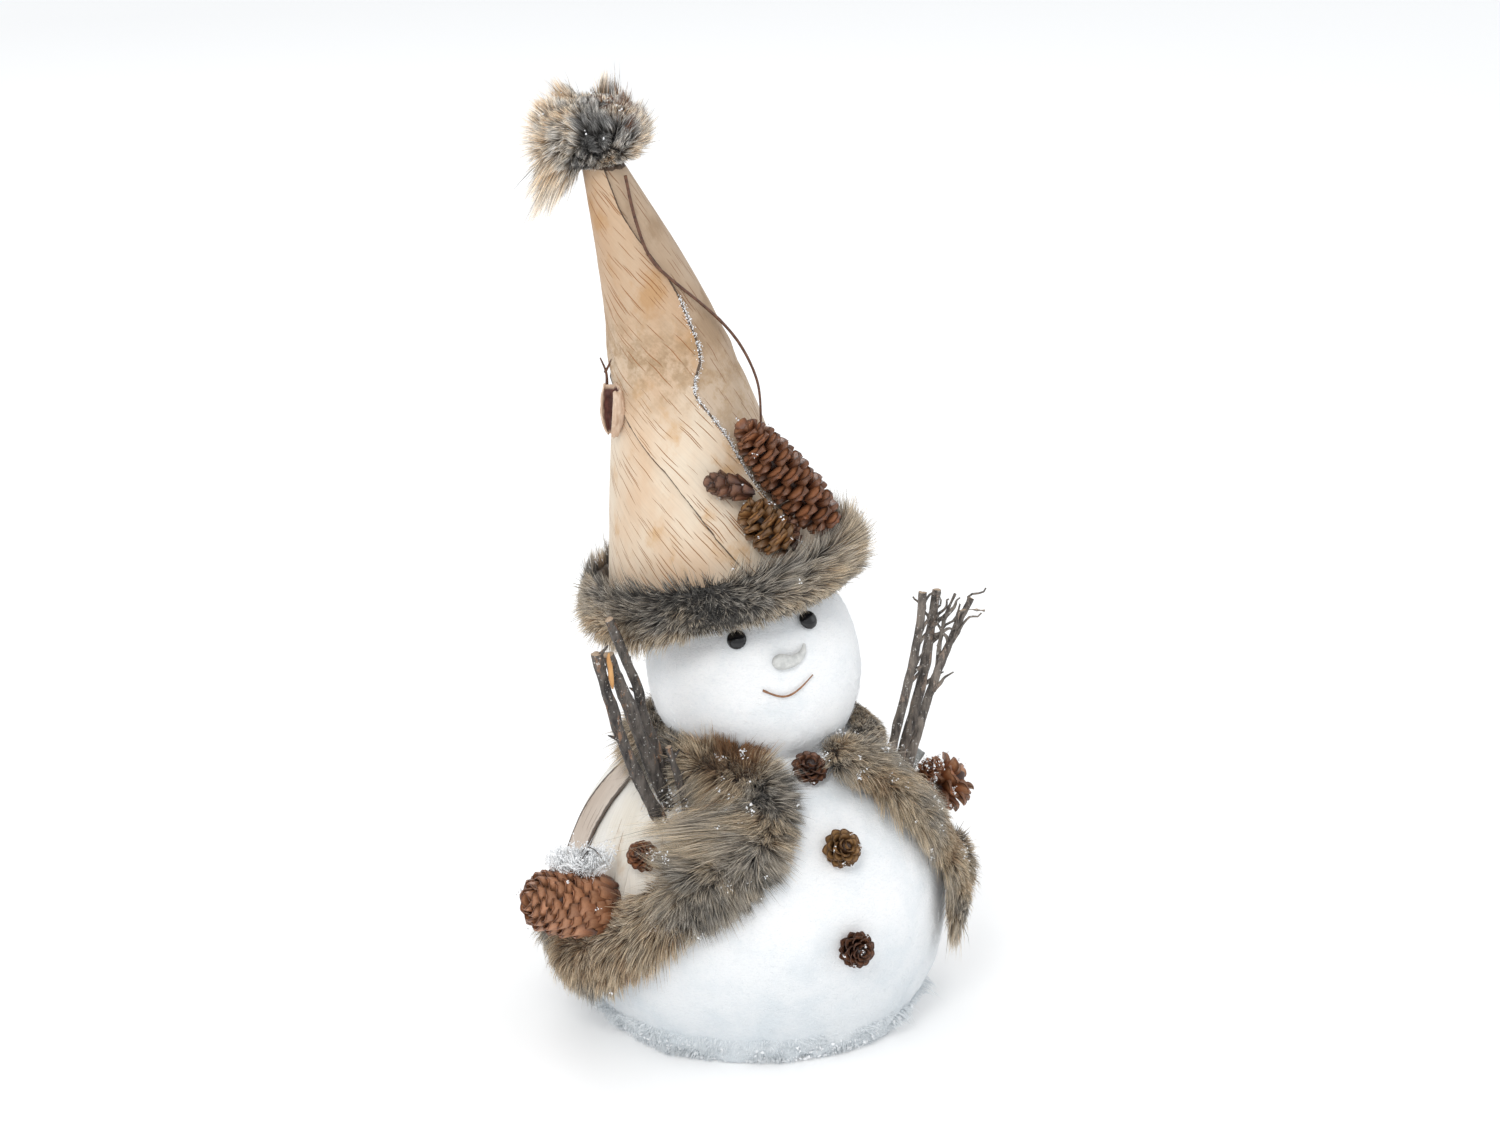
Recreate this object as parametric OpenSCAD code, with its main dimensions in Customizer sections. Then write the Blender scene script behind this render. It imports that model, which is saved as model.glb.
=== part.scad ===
// Snowman figure for a winter display: two foam balls wrapped in white fibre, a tall crooked
// hat of birch bark, a bark cape edged with long-pile fur, bundled twigs for arms and dried
// cones for buttons and trim. Origin: centre of the flat underside, on the ground. The figure
// faces -Y. Left and right are as seen from the front, so left is -X.
// Places on a ball are [latitude, azimuth]: latitude above its equator, azimuth from the front,
// positive towards +X. Places on the hat are [height, azimuth, stand-off from the paper cone].

/* [Body] */
// Outer radius of the fibre-wrapped body ball
body_r = 97; // [95:1:99]
// Height of the body ball's centre above the ground
body_z = 62; // [60:1:64]
// Thickness of the white fibre wrap on both balls
wrap_t = 3; // [2:0.5:4]
// Thickness of the card disc under the body
disc_t = 2; // [1.5:0.5:2.5]

/* [Head] */
// Sideways radius of the head
head_r = 54; // [52:1:55]
// Upright radius of the slightly egg-shaped head
head_h = 60; // [58:1:61]
// Height of the head's centre above the ground
head_z = 186; // [185:1:188]
// Lean of the head and hat towards the left
head_lean = 12; // [10:1:13]
// Diameter of the wooden dowel that joins the balls
dowel_d = 8; // [6:1:10]
// Diameter of the domed bead eyes
eye_d = 10; // [8:1:12]

/* [Hat] */
// Height of the lower edge of the hat above the ground
hat_z0 = 229; // [227:1:231]
// Height of the bark tip above the ground
hat_z1 = 447; // [444:1:450]
// Radius of the paper cone at its lower edge
hat_r0 = 56.5; // [55:0.5:57]
// Radius of the paper cone at the tip
hat_r1 = 8; // [7:0.5:9]
// Tilt of the hat's lower edge and fur brim
brim_tilt = 12.5; // [11:0.5:14]
// Azimuth towards which the hat's lower edge tilts down: left and back
brim_tilt_az = -139; // [-150:1:-130]
// Thickness of a bark or paper sheet
bark_t = 1; // [0.8:0.1:1]
// Radius of the fur pom-pom without its loose hair
pompom_r = 22; // [20:1:23]

/* [Fur and trim] */
// Height of the dense pile of the fur strips
pile = 8; // [6:1:8]
// Width of the fur collar
collar_w = 18; // [16:1:18]
// Width of the fur hem round the cape
hem_w = 28; // [24:1:30]
// Radius of the big cone on the left side
big_cone_r = 19; // [17:1:20]
// Length of the big cone
big_cone_len = 45; // [40:1:48]
// Diameter of the outer arm twig
twig_d = 7.5; // [7:0.5:8]
// Depth to which twigs are pushed into the foam
twig_depth = 18; // [14:1:22]

/* [Hidden] */
$fn = 64;
fit = 0.2;                          // clearance round anything pushed into a hole
body_c = [0, 0, body_z];
head_c = [-2, 0, head_z];
fur_r = body_r + 3.4;               // backing of the fur strips on the body
cape_top = 60;                      // latitude of the cape's upper edge
wood = [0.62, 0.34, 0.19];
fibre = [0.95, 0.96, 0.97];
bark = [0.89, 0.78, 0.65];
pale_bark = [0.90, 0.88, 0.84];
fur = [0.45, 0.40, 0.35];
stick = [0.29, 0.26, 0.24];

// --- vectors and curves -----------------------------------------------------------------------
function unit(v) = v / norm(v);
function ball_dir(lat, az) = [cos(lat) * sin(az), -cos(lat) * cos(az), sin(lat)];
function on_body(lat, az, r) = body_c + r * ball_dir(lat, az);
function egg(lat) = 1 / sqrt(pow(cos(lat) / head_r, 2) + pow(sin(lat) / head_h, 2));
function lean(v) = [v.x * cos(head_lean) - v.z * sin(head_lean), v.y,
    v.x * sin(head_lean) + v.z * cos(head_lean)];
function on_head(lat, az, off) = head_c + lean((egg(lat) + off) * ball_dir(lat, az));

// A smooth curve through the points p, at t from 0 to len(p) - 1
function curve(p, t) = let (i = min(floor(t), len(p) - 2), u = t - i,
    a = p[max(i - 1, 0)], b = p[i], c = p[i + 1], d = p[min(i + 2, len(p) - 1)])
    0.5 * (2 * b + (c - a) * u + (2 * a - 5 * b + 4 * c - d) * u * u
        + (3 * b - a - 3 * c + d) * u * u * u);
function smooth(p, n) = [for (i = [0 : n]) curve(p, i * (len(p) - 1) / n)];
function tangent(p, i) = unit(p[min(i + 1, len(p) - 1)] - p[max(i - 1, 0)]);

// A closed solid through a list of rings with equal numbers of points, each ring anticlockwise
// when seen from the last ring. A ring that is a thin bent strip is closed by a row of quads.
module loft(rings, thin = false) {
    n = len(rings[0]);
    m = len(rings);
    caps = thin ? [for (i = [0 : n / 2 - 2]) [i, i + 1, n - 2 - i, n - 1 - i]]
        : [[for (i = [0 : n - 1]) i]];
    polyhedron(
        points = [for (ring = rings) each ring],
        faces = concat(
            caps,
            [for (k = [0 : m - 2], i = [0 : n - 1]) let (j = (i + 1) % n)
                each [[k * n + i, (k + 1) * n + i, (k + 1) * n + j],
                    [k * n + i, (k + 1) * n + j, k * n + j]]],
            [for (c = caps) [for (i = [len(c) - 1 : -1 : 0]) (m - 1) * n + c[i]]]));
}

// Points z -> tip along the line from p towards q
module along(p, q) {
    d = unit(q - p);
    translate(p) rotate([0, acos(d.z), atan2(d.y, d.x)]) children();
}

// --- twigs ------------------------------------------------------------------------------------
// flat squashes the ring from front to back
function round_ring(c, dir, r, n, flat = 1) = let (u = unit(cross([0, 1, 0], dir)), v = cross(dir, u))
    [for (i = [0 : n - 1]) c + r * (cos(360 * i / n) * u + flat * sin(360 * i / n) * v)];

// A round stick along a smooth path, from radius r0 to r1
module stick(path, r0, r1, n = 8, steps = 3) {
    p = smooth(path, steps * (len(path) - 1));
    loft([for (i = [0 : len(p) - 1])
        round_ring(p[i], tangent(p, i), r0 + (r1 - r0) * i / (len(p) - 1), n)]);
}

// Arm twigs: the first point is where the twig leaves the body
arm_left = [
    [[-70, -36, 122], [-79, -36, 137], [-92, -35, 168], [-103, -34, 205], [-106, -34, 218]],
    [[-64, -30, 127], [-74, -30, 151], [-84, -30, 178], [-92, -30, 199], [-98, -30, 215]],
    [[-64.5, -22.5, 130], [-67.5, -22.5, 156], [-76, -23, 179], [-80, -24, 195], [-95, -25, 231]],
    [[-60, -40, 126], [-64, -41, 143], [-71, -41, 166]]];
arm_right = [
    [[59, -31, 131], [62, -31, 141], [69, -31, 169], [76, -31, 198], [78, -31, 220]],
    [[68, -26, 126], [71, -26, 138], [80, -26, 166], [85, -26, 192], [89, -26, 218]],
    [[67, -35, 125], [72, -35, 141], [79, -35, 163], [90, -35, 188], [104, -35, 214]]];
// Thin branches that fork off the branched twig, and the radius where each starts
branches = [
    [[75, -35, 150], [84, -36, 181], [94, -37, 197], [96, -38, 209], [110, -38, 207]],
    [[84, -35, 174], [88, -33, 197], [92, -32, 208], [97, -31, 216]],
    [[87, -35, 181], [93, -34, 192], [99, -33, 211]]];
// Radius of each left twig, then of the right twigs
function twig_r(i) = twig_d / 2 * [1, 1.05, 0.85, 0.55, 0.79][i];
right_twig = 4;
function sunk(path) = path[0] - twig_depth * unit(path[1] - path[0]);

module twig(path, r, stretch = 0.8) stick(concat([sunk(path)], path), r, r * stretch);
module twig_hole(path, r)
    along(sunk(path) - fit * unit(path[1] - path[0]), path[1])
        cylinder(r = r + 2 * fit, h = twig_depth + 12);

module arm_left_outer() color(stick) twig(arm_left[0], twig_r(0));
module arm_left_middle() color(stick) twig(arm_left[1], twig_r(1));
module arm_left_rear() color(stick) twig(arm_left[2], twig_r(2));
module arm_left_short() color(stick) twig(arm_left[3], twig_r(3));
module arm_right_inner() color(stick) twig(arm_right[0], twig_r(right_twig));
module arm_right_middle() color(stick) twig(arm_right[1], twig_r(right_twig));
module arm_right_branched() color(stick) {
    twig(arm_right[2], twig_r(right_twig), 0.7);
    for (b = branches) stick(b, 1.1, 0.6, 6);
}

// --- cones ------------------------------------------------------------------------------------
// Radius of a cone's scales at t of its length from the stem, for a greatest radius of 1
function swell(t, tip) = t < 0.25 ? 0.55 + 0.45 * sin(360 * t)
    : t < 0.55 ? 1 : 1 - (1 - tip) * pow((t - 0.55) / 0.45, 1.3);

// A turned cone with a saw-toothed edge, one tooth per row of scales, standing on its stem
module cone(r, len, rows, tip = 0.35, gap = 0.8, stem_r = 1.5, stem = 8) {
    rotate_extrude() polygon(concat(
        [[0, -stem], [stem_r, -stem], [stem_r, 0]],
        [for (i = [0 : rows - 1]) let (a = swell(i / rows, tip), b = swell((i + 0.8) / rows, tip))
            each [[r * gap * min(a, b), len * i / rows], [r * b, len * (i + 0.8) / rows]]],
        [[0, len]]));
}

cone_stem = 1.5;
side_big = [10.5, -78];
side_small = [27.5, -64.5];
shoulder_open = [27.5, 73];
shoulder_small = [39, 53];
buttons = [[57, 0], [31.5, 0.5], [3, 0.5]];
button_r = [9, 9.5, 9];
big_cone_dir = [-cos(14), 0, sin(14)];

module body_cone(at, r, len, rows, tip, gap, out = 0.5)
    along(on_body(at[0], at[1], body_r + out), on_body(at[0], at[1], 2 * body_r))
        cone(r, len, rows, tip, gap);
module cone_hole(at)
    along(on_body(at[0], at[1], body_r - 8 - fit), on_body(at[0], at[1], 2 * body_r))
        cylinder(r = cone_stem + fit, h = 14);

module button_top() color([0.33, 0.2, 0.13]) body_cone(buttons[0], button_r[0], 11, 3, 0.5, 0.6);
module button_middle() color([0.38, 0.2, 0.1]) body_cone(buttons[1], button_r[1], 14, 4, 0.4, 0.6);
module button_bottom() color([0.38, 0.2, 0.1]) body_cone(buttons[2], button_r[2], 14, 4, 0.4, 0.6);
module cone_side_small() color(wood) body_cone(side_small, 7.5, 15, 5, 0.4, 0.8, 3);
module cone_shoulder_open() color([0.5, 0.26, 0.14])
    body_cone(shoulder_open, 15, 24, 5, 0.4, 0.5, 3);
module cone_shoulder_small() color([0.5, 0.26, 0.14])
    body_cone(shoulder_small, 6, 13, 4, 0.4, 0.7, 11);

big_cone_base = on_body(side_big[0], side_big[1], body_r + 4);
module cone_side_big() color(wood)
    along(big_cone_base, big_cone_base + big_cone_dir)
        cone(big_cone_r, big_cone_len, 9, 0.45, 0.86, cone_stem, 12);
module big_cone_hole()
    along(big_cone_base - (12 + fit) * big_cone_dir, big_cone_base)
        cylinder(r = cone_stem + fit, h = 20);

// --- body -------------------------------------------------------------------------------------
core_r = body_r - wrap_t;
seam = 0.05;                        // gap between foam and wrap
dowel_x = -1;
dowel_z0 = 95;
dowel_z1 = 195;

module egg_solid(grow) {
    step = 7.5;
    translate(head_c) rotate([0, -head_lean, 0]) rotate_extrude() polygon(
        [for (a = [-90 : step : 90]) [(head_r + grow) * cos(a), (head_h + grow) * sin(a)]]);
}
module dowel_hole() translate([dowel_x, 0, dowel_z0 - fit])
    cylinder(d = dowel_d + 0.1, h = dowel_z1 - dowel_z0 + 2 * fit);
module left_holes() {
    for (i = [0 : 3]) twig_hole(arm_left[i], twig_r(i));
    cone_hole(side_small);
    big_cone_hole();
}
module right_holes() {
    twig_hole(arm_right[0], twig_r(right_twig));
    twig_hole(arm_right[1], twig_r(right_twig));
    twig_hole(arm_right[2], twig_r(right_twig));
    cone_hole(shoulder_open);
    cone_hole(shoulder_small);
}
module body_holes() {
    dowel_hole();
    left_holes();
    right_holes();
    for (b = buttons) cone_hole(b);
}

module base_disc() color([0.75, 0.68, 0.58]) cylinder(r = 70.5, h = disc_t);

module body_core() color("white") difference() {
    translate(body_c) sphere(core_r - seam);
    translate([-body_r, -body_r, disc_t - 2 * body_r]) cube(2 * body_r);
    egg_solid(fit);
    body_holes();
}

module body_wrap() color(fibre) difference() {
    translate(body_c) sphere(body_r);
    translate(body_c) sphere(core_r + seam);
    translate([-body_r, -body_r, 0.5 - 2 * body_r]) cube(2 * body_r);
    egg_solid(fit);
    body_holes();
}

// --- head -------------------------------------------------------------------------------------
eye_at = [[37, -31], [35, 17]];
nose_path = [[23.2, -13.5], [20.8, -8], [19.8, -2], [21.5, 4], [25.5, 7.5]];
nose_r = [4.2, 4.1, 3.2, 2.2, 0.8];
nose_flat = 0.6;
mouth_path = [[9.5, -22], [4.5, -15], [3, -9], [5, -2], [9, 6.5]];
mouth_r = 0.9;

module neck_dowel() color([0.85, 0.72, 0.52]) translate([dowel_x, 0, dowel_z0])
    cylinder(d = dowel_d, h = dowel_z1 - dowel_z0);

module eye_holes() for (e = eye_at)
    along(on_head(e[0], e[1], -9), on_head(e[0], e[1], 9)) cylinder(r = 1.2 + fit, h = 14);

module head_core() color("white") difference() {
    egg_solid(-wrap_t - seam);
    dowel_hole();
    eye_holes();
}
module head_wrap() color(fibre) difference() {
    egg_solid(0);
    egg_solid(-wrap_t);
    dowel_hole();
    eye_holes();
}

// A domed black bead on a short shank
module eye(at) color([0.03, 0.03, 0.03])
    along(on_head(at[0], at[1], 0.4), on_head(at[0], at[1], 9)) rotate_extrude() polygon(concat(
        [[0, -9], [1.2, -9], [1.2, 0]],
        [for (a = [0 : 15 : 90]) [eye_d / 2 * cos(a), 0.8 + 3.4 * sin(a)]]));
module eye_left() eye(eye_at[0]);
module eye_right() eye(eye_at[1]);

// A curved horn that lies on the face, thick at its left end
module nose() color([0.82, 0.82, 0.8]) {
    n = 12;
    p = [for (i = [0 : n]) let (t = i * (len(nose_path) - 1) / n, at = curve(nose_path, t))
        on_head(at[0], at[1], nose_flat * curve(nose_r, t) + 0.8)];
    loft([for (i = [0 : n]) round_ring(p[i], tangent(p, i),
        curve(nose_r, i * (len(nose_r) - 1) / n) * sqrt(min(1, 0.25 + i / 2)), 10, nose_flat)]);
}
module mouth_twig() color([0.55, 0.33, 0.18])
    stick([for (m = mouth_path) on_head(m[0], m[1], mouth_r + 0.5)], mouth_r, 0.8 * mouth_r, 6);

// --- cape -------------------------------------------------------------------------------------
// One sheet of bark bent round the body between two azimuths, from latitude low to the collar
module cape_sheet(az0, az1, low, layer) {
    r = body_r + 0.4 + layer * (bark_t + 0.3);
    n = 10;
    lats = [for (i = [0 : n]) low + (cape_top - low) * i / n];
    translate(body_c) rotate([0, 0, az0 - 90]) rotate_extrude(angle = az1 - az0) polygon(concat(
        [for (a = lats) (r + bark_t - 0.1) * [cos(a), sin(a)]],
        [for (i = [n : -1 : 0]) r * [cos(lats[i]), sin(lats[i])]]));
}
module cape_bark_1() color(pale_bark) cape_sheet(-52, -33, 20, 0);
module cape_bark_2() color(pale_bark) difference() { cape_sheet(-72, -49, 4, 1); left_holes(); }
module cape_bark_3() color(pale_bark) difference() { cape_sheet(-97, -69, -7, 0); left_holes(); }
module cape_bark_4() color(bark) cape_sheet(-114, -94, -12, 1);
module cape_bark_5() color(pale_bark) cape_sheet(-225, -111, -12, 0);
module cape_bark_6() color(bark) cape_sheet(95, 138, -9, 1);
module cape_bark_7() color(pale_bark) difference() { cape_sheet(66, 98, 0, 0); right_holes(); }
module cape_bark_8() color(pale_bark) difference() { cape_sheet(40, 69, 20, 1); right_holes(); }

// A weathered scrap of bark that stands up behind the right arm
module bark_tab() color([0.62, 0.62, 0.6])
    along(on_body(31, 88, body_r + 3), on_body(42, 88, 2 * body_r))
        translate([-0.6, -6, 0]) cube([1.2, 12, 13]);

// --- fur --------------------------------------------------------------------------------------
// A strip of fur that follows [latitude, azimuth, width] points over the body
function fur_ring(n, side, w) = let (half = w / 2 / fur_r * 180 / PI)
    [for (s = [[-1, 0], [-0.95, 0.45], [-0.6, 0.9], [0, 1], [0.6, 0.9], [0.95, 0.45], [1, 0], [0, 0]])
        body_c + (fur_r + s[1] * pile) * (cos(s[0] * half) * n + sin(s[0] * half) * side)];
module fur_strip(path, steps) {
    p = smooth(path, steps);
    d = [for (q = p) ball_dir(q[0], q[1])];
    color(fur) loft([for (i = [0 : steps]) fur_ring(d[i], unit(cross(tangent(d, i), d[i])), p[i][2])]);
}
module fur_collar() fur_strip([for (az = [-66 : -24.8 : -314]) [57, az, collar_w]], 32);
module fur_lapel_left() fur_strip([[57, -59, 18], [55.5, -38, 20], [47, -28, 26], [36, -28.5, 29],
    [26, -37.5, 29], [17, -50, 28]], 18);
module fur_lapel_right() fur_strip([[57, 13, 16], [54, 27, 24], [46, 35, 26], [36, 41, 27],
    [24, 46.5, 25], [11, 49, 20], [-2, 45, 12]], 20);
module fur_hem() fur_strip([[16, -51.6, hem_w], [8, -60, hem_w], [-2, -71, hem_w - 2], [-9.5, -84, hem_w - 3],
    [-12, -102, hem_w], [-12, -130, hem_w], [-12, -180, hem_w], [-12, -230, hem_w],
    [-9, -262, hem_w], [0, -285, hem_w], [12, -299, hem_w - 4]], 44);

// --- hat --------------------------------------------------------------------------------------
// The cone bends as it rises: [height, centre x, centre y, radius of the paper cone]
hat_spine = [[hat_z0, -18.5, 0, hat_r0], [293, -31.5, 5, 41], [338, -38.5, 9, 31],
    [392, -53.5, 13, 20.5], [hat_z1, -74, 18, hat_r1]];
hat_rows = smooth(hat_spine, 16);
function hat_c(z) = [lookup(z, [for (row = hat_rows) [row[0], row[1]]]),
    lookup(z, [for (row = hat_rows) [row[0], row[2]]]), z];
function hat_r(z) = lookup(z, [for (row = hat_rows) [row[0], row[3]]]);
// A point p = [height, azimuth, stand-off] round the hat, on a level ring
function level(p) = hat_c(p[0]) + (hat_r(p[0]) + p[2]) * ball_dir(0, p[1]);
// The same on a sheet: the lower edge slopes with the brim, and the slope fades out at level_z
level_z = 300;
downhill = ball_dir(0, brim_tilt_az);
function slope(z) = tan(brim_tilt) * max(0, (level_z - z) / (level_z - hat_z0));
function on_hat(z, az, off) = let (p = level([z, az, off]))
    p - [0, 0, slope(z) * (p - hat_c(z)) * downhill];

// A curved sheet on the hat: left and right are [height, azimuth] edges, n segments across
module hat_sheet(z0, z1, left, right, off, n, sub = 1) {
    whole = concat([z0], [for (row = hat_rows) if (row[0] > z0 + 2 && row[0] < z1 - 2) row[0]], [z1]);
    fine = [for (k = [0 : len(whole) - 2], j = [0 : sub - 1])
        whole[k] + (whole[k + 1] - whole[k]) * j / sub];
    loft([for (z = concat(fine, [z1])) let (a = lookup(z, left), b = lookup(z, right))
        concat([for (i = [0 : n]) on_hat(z, a + (b - a) * i / n, off + bark_t)],
            [for (i = [n : -1 : 0]) on_hat(z, a + (b - a) * i / n, off)])], thin = true);
}
// Edges of the front sheet: a wide wrap above the fold, a diagonal band below it
fold_z = 340;
front_left = [[hat_z0, -2], [250, -13], [283, -31], [300, -45], [332, -92], [fold_z + 5, -150],
    [hat_z1, -150]];
front_right = [[hat_z0, 34], [273, 21], [318, 2], [fold_z, -17], [355, 4], [391, 4], [425, -28],
    [hat_z1, -28]];
function shifted(edge, by) = [for (e = edge) [e[0], e[1] + by]];
rear_right = [[hat_z0, 184], [fold_z - 8, 184], [fold_z + 8, 216], [hat_z1, 216]];

module hat_lining() color([0.8, 0.72, 0.6])
    hat_sheet(hat_z0, hat_z1 - 1, [[0, -358], [500, -358]], [[0, 0], [500, 0]], -bark_t, 32);
module hat_bark_front() color(bark)
    hat_sheet(hat_z0, hat_z1, front_left, front_right, 2.1, 16, 2);
module hat_bark_rear() color(bark)
    hat_sheet(hat_z0, hat_z1, shifted(front_right, -12), rear_right, 0.6, 24);
module hat_bark_lower() color([0.91, 0.76, 0.6])
    hat_sheet(hat_z0, fold_z - 10, [[0, -173], [500, -173]], shifted(front_left, 8), 0.6, 20);

// A rolled scrap of bark and a splinter on the left of the hat
module hat_bark_curl() color([0.4, 0.25, 0.18])
    along(level([316, -86, 7]), level([336, -90, 7])) rotate_extrude(angle = 300)
        translate([2, 0]) square([1.2, 20]);
module hat_splinter() color([0.45, 0.32, 0.22])
    stick([level([335, -107, 5]), level([342, -105, 5.2]), level([350, -103, 8])], 0.9, 0.4, 6);

// The brim is a fur strip folded over the lower edge of the hat
brim_z = hat_z0 + 9;
brim_profile = [[61.4, 8], [64, 9.5], [66.5, 5], [67, -4], [65, -12], [59, -17], [55.5, -16],
    [54.6, -12], [56, -10.8], [61.4, -10.8]];
module fur_brim() color(fur) translate(hat_c(brim_z))
    rotate(a = brim_tilt, v = [-downhill.y, downhill.x, 0])
        rotate_extrude() polygon(brim_profile);

// The pom-pom has a socket that takes the tip of the hat
hat_tip = hat_c(hat_z1);
pompom_c = hat_tip + [-5, 2, 16];
module fur_pompom() color(fur) difference() {
    translate(pompom_c) sphere(pompom_r);
    translate([hat_tip.x, hat_tip.y, hat_z1 - pompom_r])
        cylinder(r = hat_r1 + 5, h = pompom_r + 0.5);
}

vine_path = [[443, 13, 4.8], [425, -8, 4.8], [405, -13, 5], [393, 2, 5.2], [381, 23, 5.2],
    [366, 47, 5.6], [352, 52, 8], [338, 37, 12], [319, 32, 7]];
module vine() color([0.4, 0.26, 0.18])
    stick([for (v = vine_path) level(v)], 0.9, 0.7, 6);

// --- cones on the hat: from the stem to the tip -------------------------------------------------
module hat_cone(base, tip, r, rows) {
    p = level(base);
    q = level(tip);
    along(p, q) cone(r, norm(q - p), rows, 0.35, 0.8, 1, 1.5);
}
module hat_cone_long() color([0.45, 0.24, 0.15]) hat_cone([270, 37, 20], [324.5, 8, 13.5], 11, 14);
module hat_cone_left() color([0.3, 0.19, 0.12]) hat_cone([294, -1.5, 12.5], [300.5, -22, 12], 7.5, 6);
module hat_cone_middle() color([0.55, 0.36, 0.18])
    hat_cone([266.5, 8, 16], [289, -4, 15], 9.5, 7);
module hat_cone_small() color([0.3, 0.17, 0.11])
    hat_cone([263.5, 17.5, 11.8], [278, 21.5, 11.8], 4.2, 5);

base_disc();
body_core();
body_wrap();
neck_dowel();
head_core();
head_wrap();
eye_left();
eye_right();
nose();
mouth_twig();
button_top();
button_middle();
button_bottom();
arm_left_outer();
arm_left_middle();
arm_left_rear();
arm_left_short();
arm_right_inner();
arm_right_middle();
arm_right_branched();
cape_bark_1();
cape_bark_2();
cape_bark_3();
cape_bark_4();
cape_bark_5();
cape_bark_6();
cape_bark_7();
cape_bark_8();
bark_tab();
fur_collar();
fur_lapel_left();
fur_lapel_right();
fur_hem();
cone_side_big();
cone_side_small();
cone_shoulder_open();
cone_shoulder_small();
hat_lining();
hat_bark_front();
hat_bark_rear();
hat_bark_lower();
hat_bark_curl();
hat_splinter();
fur_brim();
fur_pompom();
vine();
hat_cone_long();
hat_cone_left();
hat_cone_middle();
hat_cone_small();
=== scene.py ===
"""Looks of a winter snowman decoration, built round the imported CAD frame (metres, +Z up).

White fibre balls, long-pile fur, birch bark, twigs, dried cones and frost are all mesh, placed and
sized by the CAD nodes. The figure faces -Y; left is -X, as seen from the front.
"""

import math
import zlib

import bmesh
import bpy
import numpy as np
from mathutils import Matrix, Vector
from mathutils.kdtree import KDTree


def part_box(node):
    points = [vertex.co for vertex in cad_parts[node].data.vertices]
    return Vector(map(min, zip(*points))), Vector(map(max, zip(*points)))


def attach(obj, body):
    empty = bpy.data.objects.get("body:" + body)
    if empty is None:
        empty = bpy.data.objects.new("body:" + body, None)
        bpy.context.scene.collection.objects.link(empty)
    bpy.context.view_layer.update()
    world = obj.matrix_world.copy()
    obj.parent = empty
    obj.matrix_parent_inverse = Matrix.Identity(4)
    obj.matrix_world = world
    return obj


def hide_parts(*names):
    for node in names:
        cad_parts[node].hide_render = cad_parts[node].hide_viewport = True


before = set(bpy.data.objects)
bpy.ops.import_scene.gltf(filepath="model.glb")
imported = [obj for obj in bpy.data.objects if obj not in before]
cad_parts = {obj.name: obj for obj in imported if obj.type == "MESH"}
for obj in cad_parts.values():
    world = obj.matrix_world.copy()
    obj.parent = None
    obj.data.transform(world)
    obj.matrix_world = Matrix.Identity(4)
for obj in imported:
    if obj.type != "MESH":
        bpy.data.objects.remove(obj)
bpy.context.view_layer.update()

MM = 0.001
WELD = 0.01 * MM                    # vertices closer than this are one
SUBDIVISIONS = 2                    # of the faceted CAD sheets and twigs
HAIR_WIDTH = 0.42 * MM              # at the root
GROUND_GAP = 0.4 * MM               # no hair dips lower than this
STRAY_REACH = 1.4                   # length of a hair that lies outside the clumps, against the rest
CONE_ROWS = 8                       # tints of cone scales, side by side in the UV map
CREASE = 350                        # millimetres up the hat
FROST_TOP = 385 * MM                # no frost on the hat's seams above this
GOLDEN = math.radians(137.508)      # turn from one cone scale to the next
DOWN = np.array([0.0, 0.0, -1.0])
UP_LEFT = np.array([-1.0, 0.0, 1.0])
VIEW_AZIMUTH = math.radians(-28)    # the side that the figure is mostly seen from
VIEW_RIGHT = np.array([math.cos(VIEW_AZIMUTH), math.sin(VIEW_AZIMUTH), 0.0])
VIEWER = np.array([math.sin(VIEW_AZIMUTH), -math.cos(VIEW_AZIMUTH), 0.0])


# --- arrays ---
def unit(v):
    return v / np.maximum(np.linalg.norm(v, axis=-1, keepdims=True), 1e-12)


def clamp(values):
    return np.clip(values, 0, 1)


def inset(u):
    """A place from 0 to 1, held off the edges of the UV square."""
    return 0.02 + 0.96 * u


def seeded(name):
    """The random numbers of one piece, so that a change to one piece leaves the others alone."""
    return np.random.default_rng(zlib.crc32(name.encode()))


def value_noise(points, size, seed=0):
    """Smooth noise from -1 to 1 at each point, with features about size millimetres across."""
    p = np.asarray(points) / (size * MM) + 1000.0 + 17.3 * seed
    cell = np.floor(p).astype(np.int64)
    f = p - cell
    f = f * f * (3 - 2 * f)
    total = np.zeros(len(p))            # of a hash of each corner of the cell, from 0 to 65535
    for corner in np.ndindex(2, 2, 2):
        c = cell + np.array(corner)
        h = (c[:, 0] * 73856093) ^ (c[:, 1] * 19349663) ^ (c[:, 2] * 83492791) ^ (seed * 2654435761)
        h = (h ^ (h >> 13)) * 1274126177 & 0x7FFFFFFF
        h = (h ^ (h >> 15)) & 0xFFFF
        weight = np.prod(np.where(np.array(corner), f, 1 - f), axis=1)
        total += weight * (h / 32767.5 - 1)
    return total


def layered_noise(points, size, seed=0):
    return sum(value_noise(points, size / 2 ** k, seed + k) / 2 ** k for k in range(3)) / 1.75


def noise_vectors(points, size, seed=0):
    return np.stack([value_noise(points, size, seed + 11 * k) for k in range(3)], axis=1)


def square_to(v, along):
    """The part of each v that is square to the unit vectors along."""
    return v - np.sum(v * along, axis=-1, keepdims=True) * along


# --- meshes ---
def triples(items, key, kind=float):
    """The three numbers that each of a mesh's items holds under key."""
    flat = np.zeros(len(items) * 3, kind)
    items.foreach_get(key, flat)
    return flat.reshape(-1, 3)


def cad_points(node):
    return triples(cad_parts[node].data.vertices, "co")


def box_of(node):
    """The lowest and highest corners of a CAD node."""
    return (np.array(corner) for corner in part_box(node))


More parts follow.
